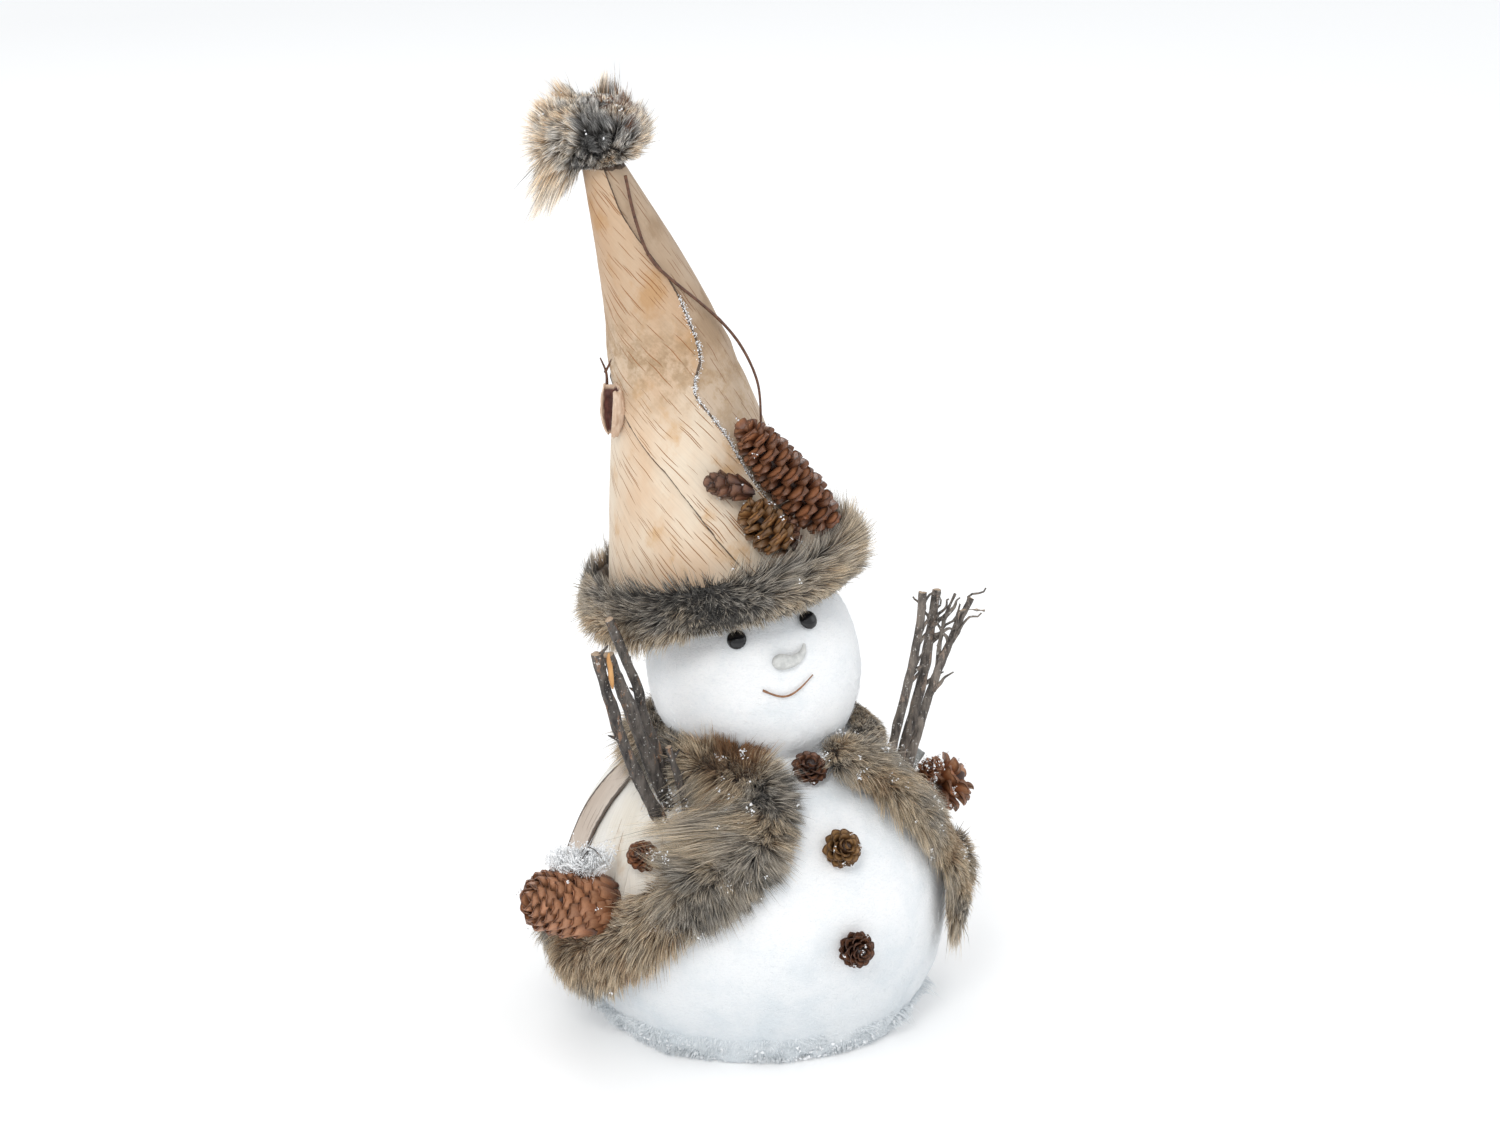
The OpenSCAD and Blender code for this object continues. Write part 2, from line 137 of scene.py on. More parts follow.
def set_floats(mesh, floats):
    """Gives a mesh attributes, by name, of one number per point."""
    for key, values in floats.items():
        mesh.attributes.new(key, "FLOAT", "POINT").data.foreach_set("value", values.astype(np.float32))


def make_mesh(name, points, faces, uv=None, floats=None):
    """A mesh from points, a list of face arrays, and optional per-point UVs and float attributes."""
    faces = [np.asarray(f) for f in faces if len(f)]
    sizes = np.concatenate([np.full(len(f), f.shape[1]) for f in faces])
    corners = np.concatenate([f.ravel() for f in faces])
    mesh = bpy.data.meshes.new(name)
    mesh.vertices.add(len(points))
    mesh.vertices.foreach_set("co", np.asarray(points, np.float32).ravel())
    mesh.loops.add(len(corners))
    mesh.loops.foreach_set("vertex_index", corners.astype(np.int32))
    mesh.polygons.add(len(sizes))
    mesh.polygons.foreach_set("loop_start", np.concatenate([[0], np.cumsum(sizes)[:-1]]).astype(np.int32))
    mesh.polygons.foreach_set("use_smooth", np.ones(len(sizes), bool))
    if uv is not None:
        layer = mesh.uv_layers.new(name="OFBake")
        layer.uv.foreach_set("vector", np.asarray(uv, np.float32)[corners].ravel())
    set_floats(mesh, floats or {})
    mesh.update()
    mesh.validate()
    return mesh


def linked(name, data):
    """A new object that shows data, linked to the scene."""
    made = bpy.data.objects.new(name, data)
    bpy.context.scene.collection.objects.link(made)
    return made


def add_piece(name, mesh, material, slot, *nodes):
    """Shows mesh as a piece of the object that stands for the CAD nodes."""
    for m in material if isinstance(material, (list, tuple)) else [material]:
        mesh.materials.append(m)
    piece = linked(name, mesh)
    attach(piece, "root")
    if nodes:
        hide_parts(*nodes)


def with_modifiers(mesh, *modifiers):
    """mesh after the modifiers, each given as (type, settings)."""
    scratch = linked("scratch", mesh)
    for kind, settings in modifiers:
        modifier = scratch.modifiers.new(kind, kind)
        for key, value in settings.items():
            setattr(modifier, key, value)
    depsgraph = bpy.context.evaluated_depsgraph_get()
    result = bpy.data.meshes.new_from_object(scratch.evaluated_get(depsgraph))
    bpy.data.objects.remove(scratch)
    return result


def mesh_arrays(mesh):
    """Points, point normals and triangles of a mesh."""
    mesh.calc_loop_triangles()
    parts = ((mesh.vertices, "co", float), (mesh.vertices, "normal", float),
             (mesh.loop_triangles, "vertices", np.int64))
    return [triples(*part) for part in parts]


def move_points(mesh, points):
    mesh.vertices.foreach_set("co", np.asarray(points, np.float32).ravel())
    mesh.update()


def roughened(mesh, height_of):
    """mesh with each point moved out along its normal by height_of(points) millimetres."""
    points, normals, _ = mesh_arrays(mesh)
    move_points(mesh, points + normals * height_of(points)[:, None] * MM)
    return mesh


def cad_bmesh(node, weld=True):
    """The mesh of a CAD node for editing, with its doubled vertices joined if weld."""
    bm = bmesh.new()
    bm.from_mesh(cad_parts[node].data)
    if weld:
        bmesh.ops.remove_doubles(bm, verts=bm.verts, dist=WELD)
    return bm


def mesh_from(bm, name):
    mesh = bpy.data.meshes.new(name)
    bm.to_mesh(mesh)
    bm.free()
    return mesh


def remeshed(node, voxel, smooth, hull=False):
    """An even, smooth copy of a CAD node, or of the convex shape round it."""
    bm = cad_bmesh(node)
    if hull:
        made = bmesh.ops.convex_hull(bm, input=bm.verts)
        spare = set(made["geom_interior"]) | set(made["geom_unused"])
        bmesh.ops.delete(bm, geom=[g for g in spare if isinstance(g, bmesh.types.BMVert)])
    return with_modifiers(
        mesh_from(bm, node),
        ("REMESH", {"mode": "VOXEL", "voxel_size": voxel}),
        ("SMOOTH", {"factor": 0.5, "iterations": smooth}))


def subdivided(node):
    """A smooth copy of a faceted CAD node. The attribute rim is 1 along its sharp edges, and faces
    that look up from between sharp edges, such as a twig's cut end, have the second material."""
    sharp = math.radians(50)
    facing_up = 0.6
    bm = cad_bmesh(node)
    crease = bm.edges.layers.float.new("crease_edge")
    rim = bm.verts.layers.float.new("rim")
    for edge in bm.edges:
        if len(edge.link_faces) == 2 and edge.calc_face_angle(0) > sharp:
            edge[crease] = 1
            for vertex in edge.verts:
                vertex[rim] = 1
    for face in bm.faces:
        face.smooth = True
        cut_end = face.normal.z > facing_up and all(v[rim] > 0 for v in face.verts)
        face.material_index = int(cut_end)
    levels = {"levels": SUBDIVISIONS, "render_levels": SUBDIVISIONS}
    return with_modifiers(mesh_from(bm, node), ("SUBSURF", levels))


def scatter(mesh, count, rng):
    """count points spread evenly over a mesh, with their smooth normals."""
    points, normals, triangles = mesh_arrays(mesh)
    a, b, c = (points[triangles[:, k]] for k in range(3))
    area = np.linalg.norm(np.cross(b - a, c - a), axis=1)
    pick = triangles[rng.choice(len(triangles), count, p=area / area.sum())]
    u, v = rng.random((2, count, 1))
    flip = u + v > 1
    u, v = np.where(flip, 1 - u, u), np.where(flip, 1 - v, v)
    weights = (1 - u - v, u, v)
    at = sum(w * points[pick[:, k]] for k, w in enumerate(weights))
    return at, unit(sum(w * normals[pick[:, k]] for k, w in enumerate(weights)))


def ball_of(node):
    """Centre and radius of the round outer face of a CAD node."""
    points = cad_points(node)
    outer = points
    for _ in range(8):                  # until only the round outer face counts
        terms = np.hstack([2 * outer, np.ones((len(outer), 1))])
        answer = np.linalg.lstsq(terms, np.sum(outer ** 2, axis=1), rcond=None)[0]
        centre = answer[:3]
        distance = np.linalg.norm(points - centre, axis=1)
        outer = points[distance > distance.max() - 1 * MM]
    return centre, math.sqrt(answer[3] + centre @ centre)


body_c, body_r = ball_of("body_wrap")


# --- materials ---
class Shader:
    """A node material. add() makes a node and links or sets its inputs by name."""

    def __init__(self, name, roughness=0.6, **inputs):
        self.material = bpy.data.materials.new(name)
        self.material.use_nodes = True
        self.tree = self.material.node_tree
        self.surface = self.tree.nodes["Principled BSDF"]
        self.surface.inputs["Roughness"].default_value = roughness
        for key, value in inputs.items():
            self.surface.inputs[key.replace("_", " ")].default_value = value

    def add(self, kind, inputs=None, **settings):
        n = self.tree.nodes.new("ShaderNode" + kind)
        for key, value in settings.items():
            setattr(n, key, value)
        for key, value in (inputs or {}).items():
            self.put(value, n.inputs[key])
        return n

    def put(self, value, socket):
        if isinstance(value, bpy.types.NodeSocket):
            self.tree.links.new(value, socket)
        else:
            socket.default_value = value

    def place(self, stretch=(1, 1, 1)):
        """The point being shaded, in millimetres, stretched."""
        at = self.add("TexCoord").outputs["Object"]
        return self.add("Mapping", {"Vector": at, "Scale": [1 / MM * s for s in stretch]}).outputs[0]

    def noise(self, at, size, detail=4.0, rough=0.6):
        inputs = {"Vector": at, "Scale": 1 / size, "Detail": detail, "Roughness": rough}
        return self.add("TexNoise", inputs).outputs["Fac"]

    def ramp(self, value, *stops):
        """A colour ramp through (position, colour) stops; a plain number is a grey."""
        n = self.add("ValToRGB", {"Fac": value})
        elements = n.color_ramp.elements
        while len(elements) < len(stops):
            elements.new(0.5)
        for element, (at, colour) in zip(elements, stops):
            element.position = at
            element.color = (colour,) * 3 + (1,) if isinstance(colour, (int, float)) else (*colour, 1)
        return n.outputs[0]

    def mix(self, share, a, b, how="MIX"):
        a, b = ((*c, 1) if isinstance(c, tuple) and len(c) == 3 else c for c in (a, b))
        return self.add("MixRGB", {"Fac": share, "Color1": a, "Color2": b}, blend_type=how).outputs[0]

    def calc(self, a, how, b=0.0):
        """a + b and the like; how is one of + - * / or the name of a Math operation."""
        how = {"+": "ADD", "-": "SUBTRACT", "*": "MULTIPLY", "/": "DIVIDE"}.get(how, how)
        return self.add("Math", {0: a, 1: b}, operation=how).outputs[0]

    def times(self, colour, by, share=1.0):
        """colour darkened by another colour."""
        return self.mix(share, colour, by, "MULTIPLY")

    def attribute(self, name):
        return self.add("Attribute", attribute_name=name).outputs["Fac"]

    def parts(self, vector):
        """The x, y and z of a vector."""
        return self.add("SeparateXYZ", {"Vector": vector}).outputs

    def uv(self):
        return self.parts(self.add("UVMap", uv_map="OFBake").outputs[0])

    def painted_foot_shade(self, colour, grey):
        """colour, greyed towards the ground by painted shade; there is none from 80 mm up."""
        height = self.calc(self.parts(self.place())[2], "/", 100)
        return self.times(colour, self.ramp(height, (0.05, grey), (0.8, 1.0)))

    def finish(self, colour, height=None, depth=0.3, strength=0.6):
        """Sets the colour, and a bump of about depth millimetres from height."""
        self.put(colour, self.surface.inputs["Base Color"])
        if height is not None:
            bump = self.add("Bump", {"Height": height, "Distance": depth * MM, "Strength": strength})
            self.put(bump.outputs[0], self.surface.inputs["Normal"])
        return self.material


def fibre_material():
    """Bright white fibre fleece with faint cool hollows."""
    s = Shader("white_fibre", 0.95, Sheen_Weight=0.25)
    cloud = s.noise(s.place(), 26, 5)
    fine = s.noise(s.place((1, 1, 2.2)), 1.6, 6)
    colour = s.ramp(cloud, (0.3, (0.80, 0.835, 0.86)), (0.52, (0.90, 0.91, 0.92)), (0.75, 0.93))
    colour = s.mix(s.ramp(fine, (0.3, 0.35), (0.5, 0.0)), colour, (0.68, 0.72, 0.76))
    # painted shade: the fleece greys towards the ground
    return s.finish(s.painted_foot_shade(colour, (0.74, 0.77, 0.79)), fine, 0.8)


def fuzz_material():
    """Loose white fibres: a little grey at the root, white at the tip."""
    s = Shader("white_fuzz", 0.9)
    colour = s.ramp(s.uv()[1], (0.0, (0.87, 0.89, 0.90)), (0.5, (0.94, 0.945, 0.95)))
    # painted shade: the loose fibres grey towards the ground
    return s.finish(s.painted_foot_shade(colour, (0.80, 0.83, 0.85)))


def fur_material(name, tips, brightness=1.0):
    """Fur whose UV holds its tone across and its root-to-tip place along."""
    s = Shader(name, 0.55, Sheen_Weight=0.15)
    tone, along, _ = s.uv()
    root = s.ramp(tone, (0.0, (0.04, 0.036, 0.032)), (0.3, (0.05, 0.042, 0.033)),
                  (0.62, (0.10, 0.065, 0.037)), (1.0, (0.08, 0.036, 0.014)))
    middle = s.ramp(tone, (0.0, (0.18, 0.165, 0.145)), (0.3, (0.30, 0.245, 0.185)),
                    (0.62, (0.46, 0.31, 0.18)), (1.0, (0.30, 0.14, 0.05)))
    colour = s.mix(s.ramp(along, (0.08, 0.0), (0.48, 1.0)), root, middle)
    colour = s.mix(s.ramp(along, (0.4, 0.0), (0.8, 1.0)), colour, s.ramp(tone, *tips))
    strand = s.add("CombineXYZ", {0: s.calc(tone, "*", 110)}).outputs[0]
    shade = s.ramp(s.noise(strand, 1, 0, 0.5), (0.40, 0.24 * brightness), (0.56, brightness))
    return s.finish(s.times(colour, shade))


def birch_material(name, pale, warm, stain, dash, slant, dashes, dark_rim, knot_up=-1000):
    """Birch bark: pale ground with warm clouds, long thin dashes on a slant of so many degrees, fine
    grain, ragged dark edges and ochre crusts at the height knot_up. The attributes across and up
    hold a point's place on the sheet in mm. Higher up than 315 mm the bark is aged."""
    s = Shader(name, 0.62)
    across, up, rim = (s.attribute(key) for key in ("across", "up", "rim"))
    slant = math.radians(slant)
    wander = s.calc(s.noise(s.place(), 35, 2), "*", 5)
    lean = s.calc(s.calc(across, "*", math.cos(slant)), "+", s.calc(up, "*", math.sin(slant)))
    lean = s.calc(lean, "+", wander)
    run = s.calc(s.calc(across, "*", math.sin(slant)), "-", s.calc(up, "*", math.cos(slant)))

    def laid(wide, long):
        """The place on the sheet along the slant, in cells of wide by long mm."""
        return s.add("CombineXYZ", {0: s.calc(lean, "/", wide), 1: s.calc(run, "/", long)}).outputs[0]

    cells = s.add("TexVoronoi", {"Vector": laid(1.3, 34), "Scale": 1.0, "Randomness": 1.0},
                  voronoi_dimensions="2D")
    chance = s.add("SeparateColor", {"Color": cells.outputs["Color"]}).outputs
    picked = s.calc(chance[0], "GREATER_THAN", 1 - dashes)
    size = s.calc(picked, "*", s.calc(0.1, "+", s.calc(chance[1], "*", 0.14)))
    inside = s.calc(s.calc(size, "-", cells.outputs["Distance"]), "*", 28)
    mark = s.ramp(inside, (0.0, 0.0), (1.0, 1.0))
    clouds = s.ramp(s.noise(s.place((1, 1, 0.6)), 38, 4), (0.38, pale), (0.62, warm))
    blotch = s.ramp(s.noise(s.place((1, 1, 0.7)), 22, 5, 0.65), (0.53, 0.0), (0.66, 0.75))
    colour = s.mix(blotch, clouds, stain)
    near = s.calc(s.calc(s.calc(up, "-", knot_up), "ABSOLUTE"), "/", 30)
    crust = s.calc(s.ramp(near, (0.1, 1.0), (1.0, 0.0)), "*",
                  s.ramp(s.noise(s.place(), 7, 6, 0.7), (0.44, 0.0), (0.58, 0.85)))
    ochre = s.mix(s.noise(s.place(), 1.6, 3), (0.30, 0.18, 0.08), (0.66, 0.50, 0.33))
    colour = s.mix(crust, colour, ochre)
    colour = s.times(colour, s.ramp(s.calc(up, "/", 500), (0.63, 1.0), (0.71, (0.77, 0.71, 0.65))))
    grain = s.noise(laid(0.9, 26), 1, 5, 0.5)
    colour = s.times(colour, s.ramp(grain, (0.3, 0.45), (0.6, 1.0)), 0.16)
    colour = s.mix(s.calc(mark, "*", 0.9), colour, dash)
    ragged = s.calc(rim, "+", s.calc(s.noise(s.place(), 3), "*", 0.3))
    edge = s.ramp(ragged, (dark_rim + 0.17, 0.0), (dark_rim + 0.22, 0.9))
    colour = s.mix(edge, colour, (0.06, 0.035, 0.022))
    height = s.calc(s.calc(grain, "*", 0.5), "-", s.calc(mark, "*", 0.8))
    return s.finish(colour, height, 0.35, 0.7)


def cone_material(name, root, middle, tip):
    """Dried cone scales. The UV runs root to tip, and across CONE_ROWS rows of different tint."""
    s = Shader(name, 0.4, Specular_IOR_Level=0.5)
    along, across, _ = s.uv()
    rows = s.calc(across, "*", CONE_ROWS)
    tint = s.calc(s.calc(rows, "FLOOR"), "/", CONE_ROWS - 1)
    side = s.calc(s.calc(s.calc(rows, "FRACT"), "-", 0.5), "ABSOLUTE")
    colour = s.ramp(along, (0.0, root), (0.55, middle), (0.86, tip), (1.0, middle))
    colour = s.mix(s.ramp(side, (0.2, 0.0), (0.45, 0.55)), colour, root)
    colour = s.times(colour, s.ramp(tint, (0.0, 0.42), (1.0, 1.0)), 0.5)
    streaks = s.noise(s.place(), 0.9, 5)
    colour = s.times(colour, s.ramp(streaks, (0.3, 0.35), (0.65, 1.0)), 0.35)
    return s.finish(colour, streaks, 0.25)


def twig_material(name, dark, light, chip):
    """Weathered twig bark: streaks that run up the twig, with reddish chips and pale specks."""
    s = Shader(name, 0.72)
    streaks = s.noise(s.place((1, 1, 0.2)), 1.9, 6, 0.7)
    patches = s.noise(s.place((1, 1, 0.5)), 7, 3)
    colour = s.ramp(s.calc(s.calc(streaks, "+", patches), "*", 0.5), (0.41, dark), (0.59, light))
    chips = s.noise(s.place((1, 1, 0.35)), 4.5, 6, 0.75)
    colour = s.mix(s.ramp(chips, (0.56, 0.0), (0.61, 0.85)), colour, chip)
    specks = s.noise(s.place(), 1.6, 3)
    colour = s.mix(s.ramp(specks, (0.63, 0.0), (0.67, 0.8)), colour, (0.6, 0.58, 0.55))
    return s.finish(colour, streaks, 0.8, 1.0)


def curl_material():
    """Bark that is pale outside and along its rim, and dark inside the roll."""
    s = Shader("curled_birch", 0.6)
    streaks = s.noise(s.place((1, 1, 0.25)), 1.6, 5)
    pale = s.ramp(streaks, (0.3, (0.50, 0.33, 0.22)), (0.7, (0.76, 0.60, 0.47)))
    dark = s.ramp(streaks, (0.3, (0.035, 0.012, 0.010)), (0.7, (0.16, 0.06, 0.045)))
    away_from_rim = s.ramp(s.attribute("rim"), (0.55, 1.0), (0.8, 0.0))
    share = s.calc(s.attribute("inside"), "*", away_from_rim)
    return s.finish(s.mix(share, pale, dark), streaks, 0.4)


def grained_material(name, dark, light, size, roughness=0.7, stretch=(1, 1, 1), depth=0.2):
    """Plain stock with a soft grain, for wood, paper, card, foam and horn."""
    s = Shader(name, roughness)
    grain = s.noise(s.place(stretch), size, 6)
    return s.finish(s.ramp(grain, (0.3, dark), (0.7, light)), grain, depth, 0.5)


fibre = fibre_material()
fuzz = fuzz_material()
fur = fur_material("fur", ((0.0, (0.52, 0.49, 0.44)), (0.3, (0.74, 0.64, 0.51)),
                           (0.62, (0.92, 0.75, 0.52)), (1.0, (0.40, 0.19, 0.07))))
fur_top = fur_material("fur_pompom", ((0.0, (0.56, 0.55, 0.54)), (0.3, (0.80, 0.76, 0.70)),
                                      (0.62, (0.82, 0.68, 0.50)), (1.0, (0.10, 0.025, 0.02))), 1.75)
hat_bark = birch_material("hat_birch", (0.76, 0.64, 0.50), (0.69, 0.50, 0.34), (0.60, 0.36, 0.16),
                          (0.30, 0.12, 0.03), 29, 0.72, 0.75, knot_up=CREASE + 2)
rear_bark = birch_material("rear_birch", (0.66, 0.54, 0.42), (0.56, 0.43, 0.31), (0.42, 0.30, 0.19),
                           (0.24, 0.11, 0.045), 24, 0.45, 0.8, knot_up=CREASE - 10)
cape_white = birch_material("cape_birch", (0.88, 0.85, 0.79), (0.80, 0.74, 0.64), (0.66, 0.52, 0.37),
                            (0.30, 0.15, 0.06), 15, 0.2, 0.86)
cape_beige = birch_material("cape_birch_beige", (0.62, 0.53, 0.45), (0.52, 0.42, 0.34),
                            (0.38, 0.27, 0.19), (0.16, 0.08, 0.04), 10, 0.16, 0.74)
curled_bark = curl_material()
red_cone = cone_material("red_cone", (0.045, 0.013, 0.006), (0.24, 0.085, 0.035), (0.38, 0.16, 0.075))
tile_cone = cone_material("tile_cone", (0.05, 0.016, 0.008), (0.32, 0.125, 0.055), (0.54, 0.26, 0.14))
olive_cone = cone_material("olive_cone", (0.05, 0.02, 0.008), (0.24, 0.115, 0.04), (0.36, 0.20, 0.08))
golden_cone = cone_material("golden_cone", (0.035, 0.014, 0.005), (0.26, 0.11, 0.035), (0.42, 0.22, 0.085))
dark_cone = cone_material("dark_cone", (0.025, 0.009, 0.006), (0.13, 0.05, 0.028), (0.24, 0.11, 0.06))
open_cone = cone_material("open_cone", (0.06, 0.018, 0.01), (0.38, 0.14, 0.055), (0.52, 0.27, 0.15))
twig_bark = twig_material("twig_bark", (0.022, 0.018, 0.017), (0.13, 0.112, 0.098), (0.26, 0.15, 0.09))
grey_twig_bark = twig_material("grey_twig_bark", (0.05, 0.042, 0.038), (0.24, 0.205, 0.175),
                               (0.32, 0.24, 0.19))
twig_cut = grained_material("twig_cut", (0.30, 0.20, 0.13), (0.55, 0.42, 0.30), 1.2)
twig_strip = grained_material("twig_strip", (0.45, 0.20, 0.06), (0.68, 0.38, 0.15), 2, stretch=(1, 1, 0.2))
vine_bark = grained_material("vine_bark", (0.05, 0.02, 0.012), (0.17, 0.075, 0.04), 2.5, 0.5)
mouth_bark = grained_material("mouth_bark", (0.19, 0.075, 0.03), (0.38, 0.19, 0.09), 2.5, 0.5)
horn = grained_material("nose_horn", (0.46, 0.47, 0.46), (0.70, 0.70, 0.68), 3, 0.5)
tab_bark = grained_material("grey_bark", (0.22, 0.23, 0.23), (0.50, 0.52, 0.52), 2.5, 0.8, (1, 1, 3))
paper = grained_material("paper", (0.42, 0.33, 0.24), (0.60, 0.50, 0.38), 4)
card = grained_material("card", (0.40, 0.31, 0.22), (0.56, 0.46, 0.34), 2)
foam = grained_material("foam", (0.82, 0.83, 0.84), (0.92, 0.92, 0.92), 3)
dowel = grained_material("dowel", (0.50, 0.34, 0.18), (0.72, 0.55, 0.34), 3, stretch=(1, 1, 0.1))
snow = grained_material("snow", (0.86, 0.88, 0.90), (0.95, 0.95, 0.96), 0.8, 0.5)
bead = grained_material("bead", (0.004, 0.004, 0.005), (0.012, 0.012, 0.014), 3, 0.12, depth=0.02)


# --- strands ---
def strand_arrays(stations, sides, width, tone):
    """Tapering ribbons through stations (strand, station, xyz): points, faces and UVs."""
    count, steps = stations.shape[:2]
    taper = np.linspace(1, 0.45, steps - 1)[None, :, None] * width[:, None, None] / 2
    left = stations[:, :-1] - sides[:, None] * taper
    right = stations[:, :-1] + sides[:, None] * taper
    points = np.concatenate([np.stack([left, right], 2).reshape(count, -1, 3), stations[:, -1:]], 1)
    first = np.arange(count)[:, None] * (2 * steps - 1)
    quads = np.concatenate([first + np.array([2 * k, 2 * k + 1, 2 * k + 3, 2 * k + 2])
                            for k in range(steps - 2)])
    tips = first + np.array([2 * steps - 4, 2 * steps - 3, 2 * steps - 2])
    along = np.concatenate([np.repeat(np.linspace(0, 1, steps)[:-1], 2), [1]])
    uv = np.stack(np.broadcast_arrays(tone[:, None], inset(along)), axis=2)
    return points.reshape(-1, 3), quads, tips, uv.reshape(-1, 2)


def clump_targets(roots, tips, count, rng):
    """The tip of the nearest of count leading strands, for every strand."""
    leaders = rng.choice(len(roots), count, replace=False)
    tree = KDTree(count)
    for k, leader in enumerate(leaders):
        tree.insert(roots[leader], k)
    tree.balance()
    nearest = leaders[[tree.find(p)[1] for p in roots]]
    return roots[nearest], tips[nearest]


def comb(roots, lift, lay, length, rng, steps=4, clumps=0, gather=0.6, spread=0.2, loose=0.1):
    """Strands that leave along lift and bend towards lay, gathered into clumps. The loose share of
    them reaches further and stays out of the clumps, and none dips into the ground."""
    t = np.linspace(0, 1, steps)[None, :, None]
    lift = unit(lift + spread * rng.normal(size=lift.shape))
    stray = rng.random(len(roots)) < loose
    reach = (length * np.where(stray, STRAY_REACH, 1))[:, None, None]
    lines = roots[:, None] + reach * (lift[:, None] * t * (1 - 0.4 * t) + lay[:, None] * t ** 2)
    if clumps:
        leader_root, leader_tip = clump_targets(roots, lines[:, -1], clumps, rng)
        target = leader_tip + 0.25 * (roots - leader_root)
        pull = (gather * np.where(stray, 0, rng.uniform(0.35, 1.0, len(roots))))[:, None, None]
        lines = lines + pull * t ** 1.6 * (target - lines[:, -1])[:, None]
    lines[:, :, 2] = np.maximum(lines[:, :, 2], GROUND_GAP)
    sides = unit(np.cross(lines[:, -1] - lines[:, 0], rng.normal(size=lift.shape) + 2 * lift))
    return lines, sides


def fuzz_piece(name, lines, sides, thin, thick, rng):
    """Loose white fibres along lines, each thin to thick millimetres wide."""
    count = len(lines)
    width = MM * rng.uniform(thin, thick, count)
    hair, quads, tips, uv = strand_arrays(lines, sides, width, rng.random(count))
    add_piece(name, make_mesh(name, hair, [tips, quads], uv), fuzz, "fibre")


# --- fur ---
perches = {}        # points of each piece where frost can settle


def away_from_body(points):
    return unit(points - body_c)


def even(points, normals):
    return np.ones(len(points))


def within_uv(tone):
    return np.clip(tone, inset(0), inset(1))


def fur_piece(node, count, length, outward, lay_of, tone_of, length_of=even, material=fur,
              clump_size=3.6, gather=0.74, upright=1.0, squash=1.0):
    """Long fur over a CAD fur solid, rooted on a matted skin that follows it.

    lay_of(points, normals, outward) says which way the hair is combed, tone_of(points) its tone,
    and length_of(points, normals) how long it is as a share of length. Hair leaves the skin more
    along its lay the lower upright is. The upper half of the solid is made lower by squash first.
    """
    rng = seeded(node)
    spare = 1.6                         # strands tried for each one kept
    skin = remeshed(node, 1.6 * MM, 8)
    points, _, _ = mesh_arrays(skin)
    middle = (points[:, 2].min() + points[:, 2].max()) / 2
    rise = points[:, 2] - middle
    points[:, 2] = middle + rise * np.where(rise > 0, squash, 0.65 + 0.35 * squash)
    move_points(skin, points)
    roots, normals = scatter(skin, int(count * spare), rng)
    facing = np.sum(normals * outward(roots), axis=1)
    keep = np.flatnonzero(facing > -0.15)[:count]
    roots, normals = roots[keep], normals[keep]
    out = outward(roots)
    area = sum(p.area for p in skin.polygons) * len(keep) / (count * spare)
    lay, droop = lay_of(roots, normals, out)
    wave = noise_vectors(roots, 14, 5)
    lift = unit(upright * (normals + 0.45 * out) + (1.5 - upright) * lay + 0.35 * wave)
    reach = length * MM * length_of(roots, normals) * rng.uniform(0.6, 1.0, len(roots))
    lines, sides = comb(roots - 1.0 * MM * normals, lift, 0.55 * lay + 0.3 * wave + droop, reach, rng,
                        clumps=max(12, int(area / (clump_size * MM) ** 2)), gather=gather)
    tone = tone_of(roots) + 0.2 * value_noise(roots, 3, 77) + 0.08 * rng.normal(size=len(roots))
    width = HAIR_WIDTH * rng.uniform(0.5, 1.3, len(roots))
    hair, quads, tips, uv = strand_arrays(lines, sides, width, within_uv(tone))
    points, skin_normals, triangles = mesh_arrays(skin)
    points = points + skin_normals * (layered_noise(points, 5, 3)[:, None] - 0.8) * MM
    skin_uv = np.stack([within_uv(tone_of(points)), np.full(len(points), 0.12)], axis=1)
    start = len(points)
    mesh = make_mesh(node, np.concatenate([points, hair]),
                     [triangles, tips + start, quads + start], np.concatenate([skin_uv, uv]))
    perches[node] = lines[:, -1]
    add_piece(node + "_coat", mesh, material, "fur", node)


def body_lay(down, away, side=0.0):
    """Combing for fur on the body: away from the middle of the strip, down, and towards +X."""
    def lay_of(points, normals, out):
        flow = away * square_to(normals, out) + down * square_to(DOWN, out)
        return flow + side * square_to(np.array([1.0, 0.0, 0.0]), out), 0.18 * down * DOWN
    return lay_of


def zones(seed, base, swing, size=26):
    """Fur tone that drifts over the piece: 0 is dark grey, 0.3 taupe, 0.6 tan and 1 warm brown."""
    def tone_of(points):
        return base + swing * np.tanh(3.2 * layered_noise(points, size, seed))
    return tone_of


left_strip = cad_points("fur_lapel_left")
tuft_at = left_strip[left_strip[:, 2] > left_strip[:, 2].max() - 5 * MM].mean(axis=0) + 9 * MM * VIEW_RIGHT


def foot_of(node):
    """The point where a twig leaves the body."""
    points = cad_points(node)
    height = np.linalg.norm(points - body_c, axis=1) - body_r
    outside = points[height > 1 * MM]
    return outside[np.argsort(height[height > 1 * MM])[:8]].mean(axis=0)


arm_foot = foot_of("arm_left_outer")
right_low, right_high = box_of("fur_lapel_right")


def left_tone(points):
    """Grey and tan zones, with one warm brown tuft at the top."""
    tuft = np.exp(-np.sum(((points - tuft_at) / (13 * MM)) ** 2, axis=1))
    return zones(21, 0.4, 0.36, 16)(points) + 0.8 * tuft


def over_foot(points):
    """How far hair on the left edge of the strip is combed to the left, over the foot of the arm."""
    beside = (points - arm_foot) @ VIEW_RIGHT / MM
    height = (points[:, 2] - arm_foot[2]) / MM
    return clamp((48 - beside) / 18) * np.exp(-((height - 6) / 13) ** 2)


